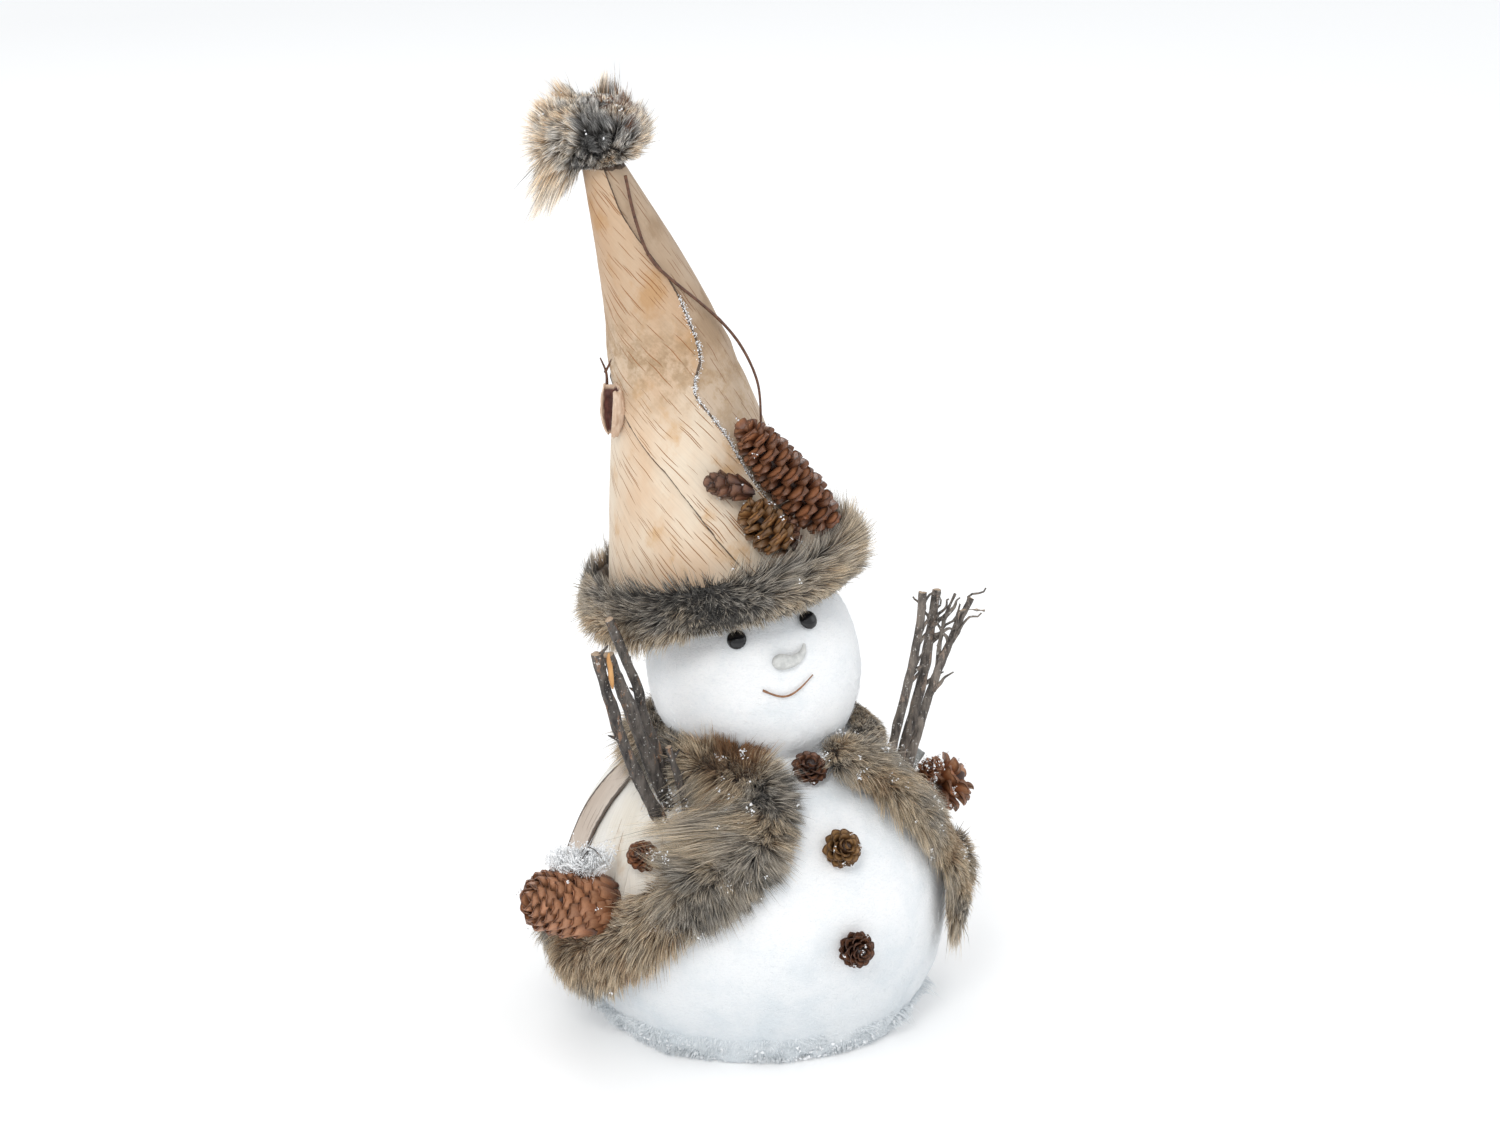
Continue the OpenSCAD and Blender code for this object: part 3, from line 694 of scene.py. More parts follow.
def left_lay(points, normals, out):
    lay, droop = body_lay(0.3, 1.15)(points, normals, out)
    swept = over_foot(points)[:, None]
    return (1 - 0.8 * swept) * lay - 1.7 * swept * square_to(VIEW_RIGHT, out), droop


def trimmed(normals):
    """Shorter hair on the edge that faces the front of the figure and down."""
    return 1 - 0.55 * clamp(2.2 * normals @ unit(VIEW_RIGHT + 0.8 * DOWN))


def left_length(points, normals):
    return (1 + 1.1 * over_foot(points)) * trimmed(normals)


def hem_length(points, normals):
    """Shorter along the lower edge."""
    return 1 - 0.4 * clamp(-2 * normals[:, 2])


def collar_length(points, normals):
    """Short on the right, where the collar stands up beside the neck."""
    return 1 - 0.7 * clamp((points - body_c) @ VIEW_RIGHT / (25 * MM))


def tail_length(points, normals):
    """The lower end of the right front edge hangs in a long tail."""
    drop = (right_high[2] - points[:, 2]) / (right_high[2] - right_low[2])
    outer = clamp(2 * normals @ VIEW_RIGHT) * clamp((drop - 0.3) / 0.2)
    return 0.85 - 0.4 * outer + 0.2 * clamp((drop - 0.65) / 0.35)


fur_piece("fur_hem", 38000, 15, away_from_body, body_lay(0.55, 0.8), zones(3, 0.42, 0.3), hem_length)
fur_piece("fur_collar", 22000, 14, away_from_body, body_lay(0.6, 0.75), zones(8, 0.3, 0.24), collar_length)
fur_piece("fur_lapel_left", 30000, 19, away_from_body, left_lay, left_tone, left_length)
fur_piece("fur_lapel_right", 28000, 17, away_from_body, body_lay(0.6, 0.8, 0.35),
          zones(34, 0.42, 0.3, 16), tail_length)

brim_c = sum(box_of("fur_brim")) / 2
pompom_c, _ = ball_of("fur_pompom")


def away_from_brim(points):
    return unit((points - brim_c) * [1, 1, 0.25])


def along_brim(points):
    """Place along the front of the brim, from -1 at its left end to 1 at its right end."""
    return (points - brim_c) @ VIEW_RIGHT / (60 * MM)


def brim_lay(points, normals, out):
    """Parted along the middle of the brim, and swept round to the right."""
    round_right = unit(np.cross(-DOWN, out))
    sweep = 0.25 + 0.6 * along_brim(points)[:, None] + 0.35 * value_noise(points, 20, 31)[:, None]
    return 0.9 * square_to(normals, out) + sweep * round_right, 0 * DOWN


def brim_length(points, normals):
    """Short over the face, long at the left, where the ends of the strip meet, and at the right."""
    place = along_brim(points)
    low = clamp(-3 * normals[:, 2] + 0.2)
    over_face = low * clamp((place + 0.55) * 3)
    return 1 - 0.72 * over_face + 0.3 * clamp(place * 2 - 1) * (1 - low)


lining = cad_points("hat_lining")
foot = lining[lining[:, 2] < lining[:, 2].min() + 20 * MM]
peak = lining[lining[:, 2] > lining[:, 2].max() - 5 * MM]
hat_line = [((foot[:, k].min() + foot[:, k].max()) / 2, (peak[:, k].min() + peak[:, k].max()) / 2)
            for k in (0, 1)]
hat_tip = np.array([hat_line[0][1], hat_line[1][1], peak[:, 2].max()])


def away_from_pompom(points):
    return unit(points - pompom_c)


def pompom_lay(points, normals, out):
    """Hair that springs from the tip of the hat: up over the top, out and down at the sides."""
    swirl = square_to(noise_vectors(points, 18, 9), out)
    lay = 0.9 * unit(points - hat_tip) + 0.3 * swirl + 1.5 * tail_share(out)[:, None] * DOWN
    return lay, 0.2 * DOWN * clamp(1.2 - (points - hat_tip)[:, 2:] / (25 * MM))


def tail_share(out):
    """How far hair that faces along out belongs to the pom-pom's tail, low on the left."""
    return clamp(5 * (out @ unit(-0.8 * VIEW_RIGHT + 0.8 * DOWN) - 0.8))


def pompom_length(points, normals):
    """Uneven locks, with a long tail."""
    locks = value_noise(points, 5, 50)
    out = away_from_pompom(points)
    tail = tail_share(out)
    flat = clamp(1.6 * np.abs(out[:, 2]) - 0.35) * (1 - tail)
    wisps = (locks > 0.5) * clamp(3 * out[:, 2] - 1)
    return (0.9 + 0.4 * locks) * (1 - 0.75 * flat) + 0.7 * tail + 0.7 * wisps


def brim_tone(points):
    """Grey over the middle, and cream along the lower edge and towards the right end."""
    edge = clamp((brim_c[2] - 6 * MM - points[:, 2]) / (14 * MM))
    return zones(13, 0.24, 0.26, 24)(points) + 0.16 * edge + 0.12 * clamp(along_brim(points))


def pompom_tone(points):
    """Dark grey with tan streaks, and dark red tips high on the right."""
    high_right = clamp(away_from_pompom(points) @ unit(VIEW_RIGHT - 0.9 * DOWN))
    streaks = value_noise(points * [1, 1, 0.3], 5, 60) * 0.3 + 0.2
    red = (value_noise(points, 1.6, 61) > 1.0 - 0.9 * high_right) * (high_right > 0.5)
    return np.where(red, 0.97, streaks + zones(40, 0.05, 0.22, 18)(points))


fur_piece("fur_brim", 38000, 14, away_from_brim, brim_lay, brim_tone, brim_length)
fur_piece("fur_pompom", 32000, 13, away_from_pompom, pompom_lay, pompom_tone, pompom_length, fur_top,
          clump_size=3.4, gather=0.8, upright=0.6, squash=0.72)


# --- white fibre ---
def fibre_ball(node, count, lumps):
    """A CAD ball as fleece: soft lumps and a coat of short loose fibres."""
    rng = seeded(node)
    skin = remeshed(node, 1.7 * MM, 14, hull=True)
    points, normals, _ = mesh_arrays(skin)
    bulge = layered_noise(points, 24, 2) * lumps + layered_noise(points, 5, 6) * 0.35
    floor = points[:, 2].min()
    at_foot = clamp(1 - (points[:, 2] - 4 * MM) / (16 * MM)) if floor < 2 * MM else 0
    bulge = bulge + at_foot * (2.6 * layered_noise(points, 8, 9) + 0.9)
    points = points + normals * bulge[:, None] * MM
    points[:, 2] = np.maximum(points[:, 2], floor)
    move_points(skin, points)
    skin.shade_smooth()
    roots, normals = scatter(skin, count, rng)
    grain = square_to(noise_vectors(roots, 11, 4) + 0.8 * rng.normal(size=roots.shape), normals)
    lines, sides = comb(roots - 0.2 * MM * normals, normals * 0.35 + grain,
                        0.5 * unit(grain) - 0.25 * normals, MM * rng.uniform(2.5, 6.5, count), rng,
                        spread=0.25)
    fuzz_piece(node + "_fuzz", lines, sides, 0.1, 0.2, rng)
    add_piece(node + "_fleece", skin, fibre, "fibre", node)


fibre_ball("body_wrap", 30000, 0.9)
fibre_ball("head_wrap", 15000, 0.5)


def ring_at(z):
    """Radius of the body at the height z."""
    return np.sqrt(np.maximum(body_r ** 2 - (z - body_c[2]) ** 2, 0))


def base_fringe():
    """Torn tufts of fibre all round the foot of the body, where it meets the ground."""
    rng = seeded("base_fringe")
    count = 16000
    turn = rng.uniform(0, 2 * math.pi, count)
    height = rng.uniform(0, 1, count) ** 1.5 * 16 * MM
    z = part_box("body_wrap")[0].z + 0.5 * MM + height
    out = np.stack([np.cos(turn), np.sin(turn), np.zeros(count)], axis=1)
    roots = out * ring_at(z)[:, None] + [body_c[0], body_c[1], 0]
    roots[:, 2] = z
    drift = noise_vectors(roots, 9, 7)
    ragged = 0.5 + 0.5 * value_noise(roots * [1, 1, 0], 13, 12)
    length = (3 + 13 * ragged ** 2) * rng.uniform(0.5, 1, count) * MM
    lines, sides = comb(roots, out + 0.6 * drift, 0.35 * drift + 0.3 * DOWN, length, rng,
                        clumps=700, gather=0.7, spread=0.35)
    fuzz_piece("base_fringe", lines, sides, 0.2, 0.45, rng)


base_fringe()


# --- cones ---
def tube_arrays(path, radii, spokes=7, aside=(0.31, 0.87, 0.2)):
    """Points and faces of a round tube along a path, with one spoke square to aside."""
    along = unit(np.gradient(path, axis=0))
    u = unit(np.cross(along, aside))
    v = np.cross(along, u)
    angle = np.linspace(0, 2 * math.pi, spokes, endpoint=False)[None, :, None]
    rings = path[:, None] + radii[:, None, None] * (np.cos(angle) * u[:, None] + np.sin(angle) * v[:, None])
    grid = np.arange(len(path) * spokes).reshape(len(path), spokes)
    wall = np.stack([grid[:-1], np.roll(grid[:-1], -1, 1), np.roll(grid[1:], -1, 1), grid[1:]], 2)
    return rings.reshape(-1, 3), [wall.reshape(-1, 4), grid[:1, ::-1], grid[-1:]]


def cone_axis(node, outwards):
    """Stem end, axis, length of the scaly part and greatest radius of a CAD cone."""
    points = cad_points(node)
    bm = cad_bmesh(node, weld=False)
    areas = np.array([f.calc_area() for f in bm.faces])
    centres = np.array([f.calc_center_median() for f in bm.faces])
    bm.free()
    middle = areas @ centres / areas.sum()
    if outwards:
        axis = unit(middle - body_c)
    else:
        spread = np.cov((centres - middle).T, aweights=areas)
        axis = np.linalg.eigh(spread)[1][:, 2]
        axis = axis * np.sign(axis @ UP_LEFT)
    along = (points - middle) @ axis
    radius = np.linalg.norm(points - middle - along[:, None] * axis, axis=1)
    scaly = along[radius > 2.2 * MM]
    return middle + scaly.min() * axis, axis, along.max() - scaly.min(), radius.max()


def scale_template(thick, cup, curl):
    """One scale: rows from root to rounded tip, upper face then lower face, as (along, across, up)."""
    along = np.array([0, 0.3, 0.55, 0.75, 0.88, 0.96, 1.0])
    half = np.array([0.3, 0.62, 0.9, 1.0, 0.92, 0.68, 0.3])
    depth = np.array([0.7, 1.0, 1.1, 1.05, 0.9, 0.65, 0.4]) * thick
    across = np.linspace(-1, 1, 5)
    a, b = np.meshgrid(along, across, indexing="ij")
    sag = -cup * (b * half[:, None]) ** 2 + curl * a ** 2.5
    ridge = 0.35 * thick * (1 - np.abs(b)) * a
    upper = np.stack([a, b * half[:, None], sag + ridge], 2)
    lower = np.stack([a, b * half[:, None], sag - depth[:, None]], 2)
    points = np.concatenate([upper.reshape(-1, 3), lower.reshape(-1, 3)])
    rows, columns = a.shape
    half_count = rows * columns
    grid = np.arange(half_count).reshape(rows, columns)
    top = np.stack([grid[:-1, :-1], grid[1:, :-1], grid[1:, 1:], grid[:-1, 1:]], 2).reshape(-1, 4)
    loop = np.concatenate([grid[0], grid[1:, -1], grid[-1, -2::-1], grid[-2:0:-1, 0]])
    after = np.roll(loop, -1)
    side = np.stack([loop, after, after + half_count, loop + half_count], 1)
    uv = np.stack([a.ravel(), (b.ravel() + 1) / 2], 1)
    return points, np.concatenate([top[:, ::-1], top + half_count, side]), np.concatenate([uv, uv])


def swell(t, tip):
    """Radius of a cone's scales at t of its length, for a greatest radius of 1."""
    rise = 0.6 + 0.4 * np.sin(clamp(t / 0.3) * math.pi / 2)
    fall = 1 - (1 - tip) * clamp((t - 0.5) / 0.5) ** 1.5
    return rise * fall * np.sqrt(1 - clamp((t - 0.78) / 0.223) ** 2)


def pine_cone(node, material, slot, count, size, open_deg, outwards=False, tip=0.4, core=0.62, thick=0.12,
              cup=0.28, curl=0.12, stand=-0.3):
    """A dried cone in a CAD cone's place: scales in a golden-angle spiral on a woody core.

    size is (length, half width) of a scale in millimetres; open_deg is how far the scales stand
    away from the axis, at the stem end and at the tip, and stand is how far they reach out of the
    CAD cone, in millimetres.
    """
    rng = seeded(node)
    base, axis, length, radius = cone_axis(node, outwards)
    aside = (0.3, 1.0, 0.2)
    u = unit(np.cross(axis, aside))
    v = np.cross(axis, u)
    k = np.arange(count)
    t = ((k + 0.5) / count) ** 0.9
    turn = k * GOLDEN + 0.06 * rng.normal(size=count)
    out = np.cos(turn)[:, None] * u + np.sin(turn)[:, None] * v
    side = np.cross(axis, out)
    closing = 30 * clamp((t - 0.78) / 0.22)         # degrees, near the tip
    opening = open_deg[0] + (open_deg[1] - open_deg[0]) * t - closing
    opening = np.radians(opening + 5 * rng.normal(size=count))
    shrink = (0.55 + 0.45 * swell(t, tip)) * rng.uniform(0.92, 1.08, count)
    reach = size[0] * MM * shrink
    rim = radius * swell(t, tip) + stand * MM
    tip_at = t * length * 1.02
    direction = np.cos(opening)[:, None] * axis + np.sin(opening)[:, None] * out
    ends = base + tip_at[:, None] * axis + rim[:, None] * out
    roots = ends - reach[:, None] * direction
    normal = np.cross(direction, side)
    normal = normal * np.sign(np.sum(normal * out, axis=1) + 1e-9)[:, None]
    template, faces, template_uv = scale_template(thick, cup, curl)
    width = size[1] * MM * shrink
    axes = np.stack([reach[:, None] * direction, width[:, None] * side, reach[:, None] * normal], 1)
    points = roots[:, None] + template @ axes
    points = points + 0.12 * MM * noise_vectors(points.reshape(-1, 3), 1.5, 2).reshape(points.shape)
    each = len(template)
    all_faces = (faces[None] + (np.arange(count) * each)[:, None, None]).reshape(-1, 4)
    row = rng.integers(0, CONE_ROWS, count)
    uv = np.stack(np.broadcast_arrays(inset(template_uv[None, :, 0]),
                                      (row[:, None] + 0.06 + 0.88 * template_uv[None, :, 1]) / CONE_ROWS), 2)
    level = np.linspace(0, 1, 13)
    core_r = core * radius * swell(level, tip) * np.where(level > 0.93, 0.5, 1) + 0.2 * MM
    core_path = base + (level * length * 0.93)[:, None] * axis
    core_points, core_faces = tube_arrays(core_path, core_r, 14, aside)
    core_uv = np.tile([0.05, 0.02], (len(core_points), 1))
    mesh = make_mesh(node, np.concatenate([points.reshape(-1, 3), core_points]),
                     [f + count * each for f in core_faces] + [all_faces],
                     np.concatenate([uv.reshape(-1, 2), core_uv]))
    perches[node] = ends
    add_piece(node + "_scales", mesh, material, slot, node)


button = dict(outwards=True, thick=0.13, cup=0.3)
pine_cone("cone_side_big", tile_cone, "cone", 108, (14, 6.5), (24, 17), tip=0.7, core=0.82, curl=-0.1)
pine_cone("hat_cone_long", red_cone, "cone", 58, (11.5, 5.6), (76, 62), tip=0.55, core=0.45, thick=0.3,
          cup=-0.05, curl=0.1, stand=1.6)
pine_cone("hat_cone_middle", golden_cone, "cone", 26, (10.5, 5.4), (62, 42), tip=0.6, core=0.5,
          thick=0.28, cup=-0.05, curl=0.08, stand=0.8)
pine_cone("hat_cone_left", dark_cone, "dark_cone", 20, (10, 3.8), (30, 14), tip=0.55, thick=0.26,
          cup=0.1, curl=-0.05)
pine_cone("hat_cone_small", dark_cone, "dark_cone", 18, (7, 2.8), (34, 20), tip=0.5, core=0.55,
          thick=0.28, cup=0.1, curl=0.0)
pine_cone("cone_side_small", red_cone, "cone", 48, (6.5, 3.2), (45, 30), tip=0.6, core=0.6, outwards=True)
pine_cone("cone_shoulder_open", open_cone, "cone", 24, (14, 5.0), (88, 40), tip=0.8, core=0.28,
          thick=0.16, cup=0.12, outwards=True)
pine_cone("cone_shoulder_small", open_cone, "cone", 34, (5, 2.2), (60, 35), tip=0.45, core=0.5, outwards=True)
pine_cone("button_top", dark_cone, "dark_cone", 34, (6.5, 3.2), (70, 22), tip=0.5, core=0.45,
          curl=0.16, **button)
pine_cone("button_middle", olive_cone, "dark_cone", 38, (7, 3.4), (72, 18), tip=0.42, core=0.45,
          curl=0.16, **button)
pine_cone("button_bottom", dark_cone, "dark_cone", 44, (6.5, 3.2), (60, 16), tip=0.42, core=0.5, **button)


# --- twigs ---
def twig_piece(node, material, slot, rough, ends=None, swell_by=0.0):
    """A CAD twig as a natural stick: round, knotty and ridged along its length."""
    def bumps(points):
        knots = layered_noise(points * [1, 1, 0.45], 8, 5)
        ridges = value_noise(points * [1, 1, 0.1], 1.5, 8)
        return rough * (0.7 * knots + 0.3 * ridges) + swell_by

    mesh = roughened(subdivided(node), bumps)
    add_piece(node + "_wood", mesh, [material, ends or material], slot, node)


def tube_piece(name, tubes, material, slot):
    """Several tubes, each a path and its radii in millimetres, as one piece."""
    points, faces = np.empty((0, 3)), []
    for path, radii in tubes:
        at, made = tube_arrays(path, np.asarray(radii) * MM)
        faces += [f + len(points) for f in made]
        points = np.concatenate([points, at])
    add_piece(name, make_mesh(name, points, faces), material, slot)


def wandering(start, direction, length, bend, seed, steps=9):
    """A path from start that bends about as it goes; length in millimetres."""
    t = np.linspace(0, 1, steps)[:, None]
    path = start + t * length * MM * unit(direction)
    swerve = noise_vectors(path, 5, seed) - noise_vectors(path[:1], 5, seed)
    return path + bend * MM * swerve * t


def spurs_on(arm, count, longest, rng, to_right):
    """Short broken side shoots over the upper part of a twig, at least to_right towards the right."""
    roots, normals = scatter(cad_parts[arm].data, 60 * count, rng)
    low, high = roots[:, 2].min(), roots[:, 2].max()
    above = roots[:, 2] > low + 0.4 * (high - low)
    chosen = above & (np.abs(normals[:, 2]) < 0.6) & (normals @ VIEW_RIGHT > to_right)
    tubes = []
    for k in np.flatnonzero(chosen)[:count]:
        length = rng.uniform(0.35, 1) * longest
        way = normals[k] * 0.8 + [0, 0, rng.uniform(0.4, 1.3)]
        path = wandering(roots[k] - 1.2 * MM * normals[k], way, length, 0.14 * length, int(k))
        thick = 0.6 + 0.02 * length
        radii = np.linspace(thick + 0.5, 0.35 * thick, len(path)) + 0.12 * rng.random(len(path))
        tubes.append((path, radii))
    return tubes


arms = sorted(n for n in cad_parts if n.startswith("arm_"))
spur_rng = seeded("spurs")
for side, bark, longest, many, to_right in (("left", twig_bark, 6, 6, -1),
                                            ("right", grey_twig_bark, 16, 3, 0.2)):
    tubes = []
    for arm in (n for n in arms if n.startswith("arm_" + side)):
        twig_piece(arm, bark, "twig", 1.3, ends=twig_cut)
        tubes += spurs_on(arm, many, longest, spur_rng, to_right)
    tube_piece(f"arm_{side}_spurs", tubes, bark, "twig")
twig_piece("vine", vine_bark, "vine", 0.2)
twig_piece("hat_splinter", vine_bark, "vine", 0.25)
twig_piece("mouth_twig", mouth_bark, "vine", 0.2, swell_by=-0.3)
twig_piece("nose", horn, "nose", 0.25)


def top_of(node, back=22):
    """The middle of a twig's upper end, and the way it points over its last back millimetres."""
    points = cad_points(node)
    top = points[points[:, 2] > points[:, 2].max() - 4 * MM].mean(axis=0)
    below = points[np.abs(points[:, 2] - top[2] + back * MM) < 8 * MM].mean(axis=0)
    return top, unit(top - below)


def torn_strip():
    """A strip of bare orange wood torn from the front of the outer left twig, near its top."""
    top, upwards = top_of("arm_left_outer")
    start = top - 17 * MM * upwards + 4.2 * MM * np.array([0.45, -0.89, 0])
    path = wandering(start, upwards + [0.12, -0.05, 0], 19, 0.8, 3)
    tube_piece("arm_left_strip", [(path, [0.5, 1.0, 1.3, 1.4, 1.3, 1.3, 1.2, 0.9, 0.5])], twig_strip, "twig")


def tangled_top():
    """Thin crooked branches that cross between the tops of the right twigs."""
    rng = seeded("tangle")
    tubes = []
    for arm in (n for n in arms if n.startswith("arm_right")):
        top, upwards = top_of(arm)
        for k, lean in enumerate((0.75, 0.5 if arm.endswith("inner") else -0.6, 0.35)):
            start = top - (24 - 6 * k + 6 * rng.random()) * MM * upwards
            way = upwards + lean * VIEW_RIGHT + 0.3 * rng.uniform(-1, 1) * VIEWER
            path = wandering(start, way, rng.uniform(17, 24), 4.5, int(rng.integers(1, 90)), 13)
            tubes.append((path, np.linspace(1.05, 0.45, 13)))
    tube_piece("arm_right_tangle", tubes, grey_twig_bark, "twig")


def splinter_fork():
    """A short side shoot near the top of the splinter on the hat."""
    top, upwards = top_of("hat_splinter", 11)
    path = wandering(top - 7 * MM * upwards, upwards + 0.7 * VIEW_RIGHT, 9, 0.6, 8)
    tube_piece("hat_splinter_fork", [(path, np.linspace(0.75, 0.3, 9))], vine_bark, "vine")


torn_strip()
tangled_top()
splinter_fork()


# --- bark ---
def sheet_mesh(name, outer, inner, floats):
    """A closed sheet from its outer and inner grids of points (row, column, xyz)."""
    rows, columns = outer.shape[:2]
    half_count = rows * columns
    grid = np.arange(half_count).reshape(rows, columns)
    top = np.stack([grid[:-1, :-1], grid[:-1, 1:], grid[1:, 1:], grid[1:, :-1]], 2).reshape(-1, 4)
    loop = np.concatenate([grid[0], grid[1:, -1], grid[-1, -2::-1], grid[-2:0:-1, 0]])
    after = np.roll(loop, -1)
    side = np.stack([loop, loop + half_count, after + half_count, after], 1)
    points = np.concatenate([outer.reshape(-1, 3), inner.reshape(-1, 3)])
    return make_mesh(name, points, [np.concatenate([top, top[:, ::-1] + half_count, side])],
                     floats={k: np.concatenate([f.ravel(), f.ravel()]) for k, f in floats.items()})


def cape_piece(node, material, curl):
    """A strip of bark bent round the body, with torn edges that lift by up to curl millimetres."""
    v = cad_points(node) - body_c
    radius = np.linalg.norm(v, axis=1)
    mid_turn = math.atan2(v[:, 0].mean(), -v[:, 1].mean())
    turn = (np.arctan2(v[:, 0], -v[:, 1]) - mid_turn + math.pi) % (2 * math.pi) - math.pi
    lat = np.arcsin(v[:, 2] / radius)
    s, t = np.meshgrid(np.linspace(0, 1, 56), np.linspace(0, 1, 48), indexing="ij")
    seed = zlib.crc32(node.encode()) % 97

    def torn(place, length, size, k):
        """Noise along an edge of so many metres."""
        along = np.zeros((s.size, 3))
        along[:, 0] = place.ravel() * length
        return value_noise(along, size, seed + k).reshape(s.shape)

    ragged = math.radians(0.9)
    tear = [torn(s, 0.11, size, k) for k, size in enumerate((16, 16, 5, 5))]
    low = lat.min() + math.radians(0.8) * (1 + torn(t, 0.1, 9, 9))
    corner = math.radians(3.5) * clamp(1 - s / 0.16) ** 2
    left = turn.min() + ragged * (1 + tear[0] + 0.5 * tear[2]) + corner * (1 + 0.4 * tear[0])
    right = turn.max() - ragged * (1 + tear[1] + 0.5 * tear[3]) - corner * (1 + 0.4 * tear[1])
    az = mid_turn + left + (right - left) * t
    el = low + (lat.max() - low) * s
    direction = np.stack([np.cos(el) * np.sin(az), -np.cos(el) * np.cos(az), np.sin(el)], 2)
    beside = np.minimum(t, 1 - t) * (right - left) * body_r * np.cos(el)
    edge = clamp(1 - np.minimum(beside, s * (el.max() - low) * body_r) / (9 * MM))
    flat = direction.reshape(-1, 3) * body_r
    wave = layered_noise(flat * [1, 1, 0.5], 15, seed).reshape(s.shape)
    held = np.cos(0.5 * math.pi * clamp(s * 1.1 - 0.1))
    lift = curl * MM * edge ** 2 * (0.55 + 0.45 * tear[0]) * held
    inner_r = radius.min() + 0.15 * MM + np.maximum(lift, 0) + 0.12 * MM * (wave + 1)
    outer_r = inner_r + (radius.max() - radius.min()) - 0.1 * MM
    sheet = sheet_mesh(node, body_c + direction * outer_r[..., None], body_c + direction * inner_r[..., None],
                       {"across": az * body_r / MM, "up": el * body_r / MM, "rim": edge})
    add_piece(node + "_sheet", sheet, material, "pale_bark", node)


for k in range(1, 9):               # the edges of the even sheets lift more
    cape_piece(f"cape_bark_{k}", cape_beige if k in (4, 6) else cape_white, 0.6 if k % 2 else 2.6)


def hat_piece(node, material):
    """A CAD hat sheet as bark: smooth, slightly buckled, creased at one height, with torn edges."""
    mesh = subdivided(node)
    points, normals, _ = mesh_arrays(mesh)
    rim = np.zeros(len(points), np.float32)
    mesh.attributes["rim"].data.foreach_get("value", rim)
    lining_low, lining_high = box_of("hat_lining")
    rise = (points[:, 2] - lining_low[2]) / (lining_high[2] - lining_low[2])
    rel = points[:, :2] - np.stack([np.interp(rise, [0, 1], ends) for ends in hat_line], 1)
    angle = np.arctan2(rel[:, 0], -rel[:, 1])
    seed = zlib.crc32(node.encode()) % 89
    flat = unit(square_to(np.cross(-DOWN, normals), normals))
    torn = noise_vectors(points, 3.5, seed)
    tear = (rim ** 6)[:, None] * (0.9 * torn[:, :1] * flat + 0.6 * torn[:, 1:2] * np.cross(normals, flat))
    buckle = 0.45 * layered_noise(points * [1, 1, 0.6], 15, seed + 2)
    creased = np.exp(-((points[:, 2] / MM - CREASE) / 13) ** 2)
    buckle = buckle + creased * (0.5 * np.sin(11 * angle + 0.3 * points[:, 2] / MM) + 0.4)
    move_points(mesh, points + MM * (tear + normals * (buckle * (1 - 0.5 * rim))[:, None]))
    set_floats(mesh, {"across": angle * np.linalg.norm(rel, axis=1) / MM, "up": points[:, 2] / MM})
    level = (points[:, 2] / (4 * MM)).astype(int)       # and how far right the sheet reaches at each
    reach = np.full(level.max() + 1, -9.0)
    at_edge = rim > 0.97
    np.maximum.at(reach, level[at_edge], angle[at_edge])
    frosted = (points[:, 2] < FROST_TOP) & (angle > reach[level] - 0.35)
    perches[node + "_edge"] = points[at_edge & frosted]
    perches[node + "_skin"] = (points + 0.3 * MM * normals)[(rim > 0.35) & frosted]
    add_piece(node + "_sheet", mesh, [material, material], "hat_bark", node)


hat_piece("hat_bark_front", hat_bark)
hat_piece("hat_bark_lower", hat_bark)
hat_piece("hat_bark_rear", rear_bark)


def tab_piece(node):
    """A small scrap of bark with rounded, uneven faces."""
    mesh = roughened(remeshed(node, 0.35 * MM, 3), lambda points: 0.3 * layered_noise(points, 3, 4))
    mesh.shade_smooth()
    add_piece(node + "_scrap", mesh, tab_bark, "grey_bark", node)


tab_piece("bark_tab")


def curl_piece(node):
    """A flap of bark rolled into a pocket that stands off the left of the hat."""
    low, high = box_of(node)
    centre, size = (low + high) / 2, high - low
    rise, turn = np.meshgrid(np.linspace(0, 1, 28), np.linspace(-1, 1, 29), indexing="ij")

    def ripple(a, b, seed):
        return value_noise(np.stack([a, b, 0 * rise], 2).reshape(-1, 3), 1 / MM, seed).reshape(rise.shape)

    behind = math.atan2(VIEW_RIGHT[1] + 0.55, VIEW_RIGHT[0] + 0.25)
    angle = behind + turn * math.radians(125) * (1 - 0.12 * rise)
    girth = 0.58 * max(size[0], size[1]) * np.sin(math.pi * (0.06 + 0.72 * rise)) ** 0.55
    girth = girth * (1 + 0.10 * ripple(angle * 3, rise * 9, 3))
    z = low[2] - 1.5 * MM + rise * (size[2] + 3 * MM) + 1.2 * MM * turn * rise
    z = z + 2.6 * MM * ripple(angle * 4, 0 * rise, 5) * (rise ** 4 - (1 - rise) ** 6)
    half_thick = 0.45 * MM
    outer, inner = (np.stack([centre[0] + r * np.cos(angle), centre[1] + r * np.sin(angle), z], 2)
                    for r in (girth + half_thick, girth - half_thick))
    rim = np.maximum(np.abs(turn) ** 3, np.maximum((rise - 0.75) * 4, (0.22 - rise) * 4))
    mesh = sheet_mesh(node, outer, inner, {"rim": clamp(rim)})
    set_floats(mesh, {"inside": np.repeat([0.0, 1.0], rise.size)})
    add_piece(node + "_pocket", mesh, curled_bark, "hat_bark", node)


curl_piece("hat_bark_curl")


# --- eyes and hidden parts ---
def cad_looks(node, material):
    """Keeps a CAD node as it is, with a better material."""
    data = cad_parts[node].data
    data.materials.clear()
    data.materials.append(material)


for node, material, slot in (
        ("base_disc", card, "card"), ("body_core", foam, "foam"), ("head_core", foam, "foam"),
        ("neck_dowel", dowel, "dowel"), ("hat_lining", paper, "paper")):
    cad_looks(node, material)


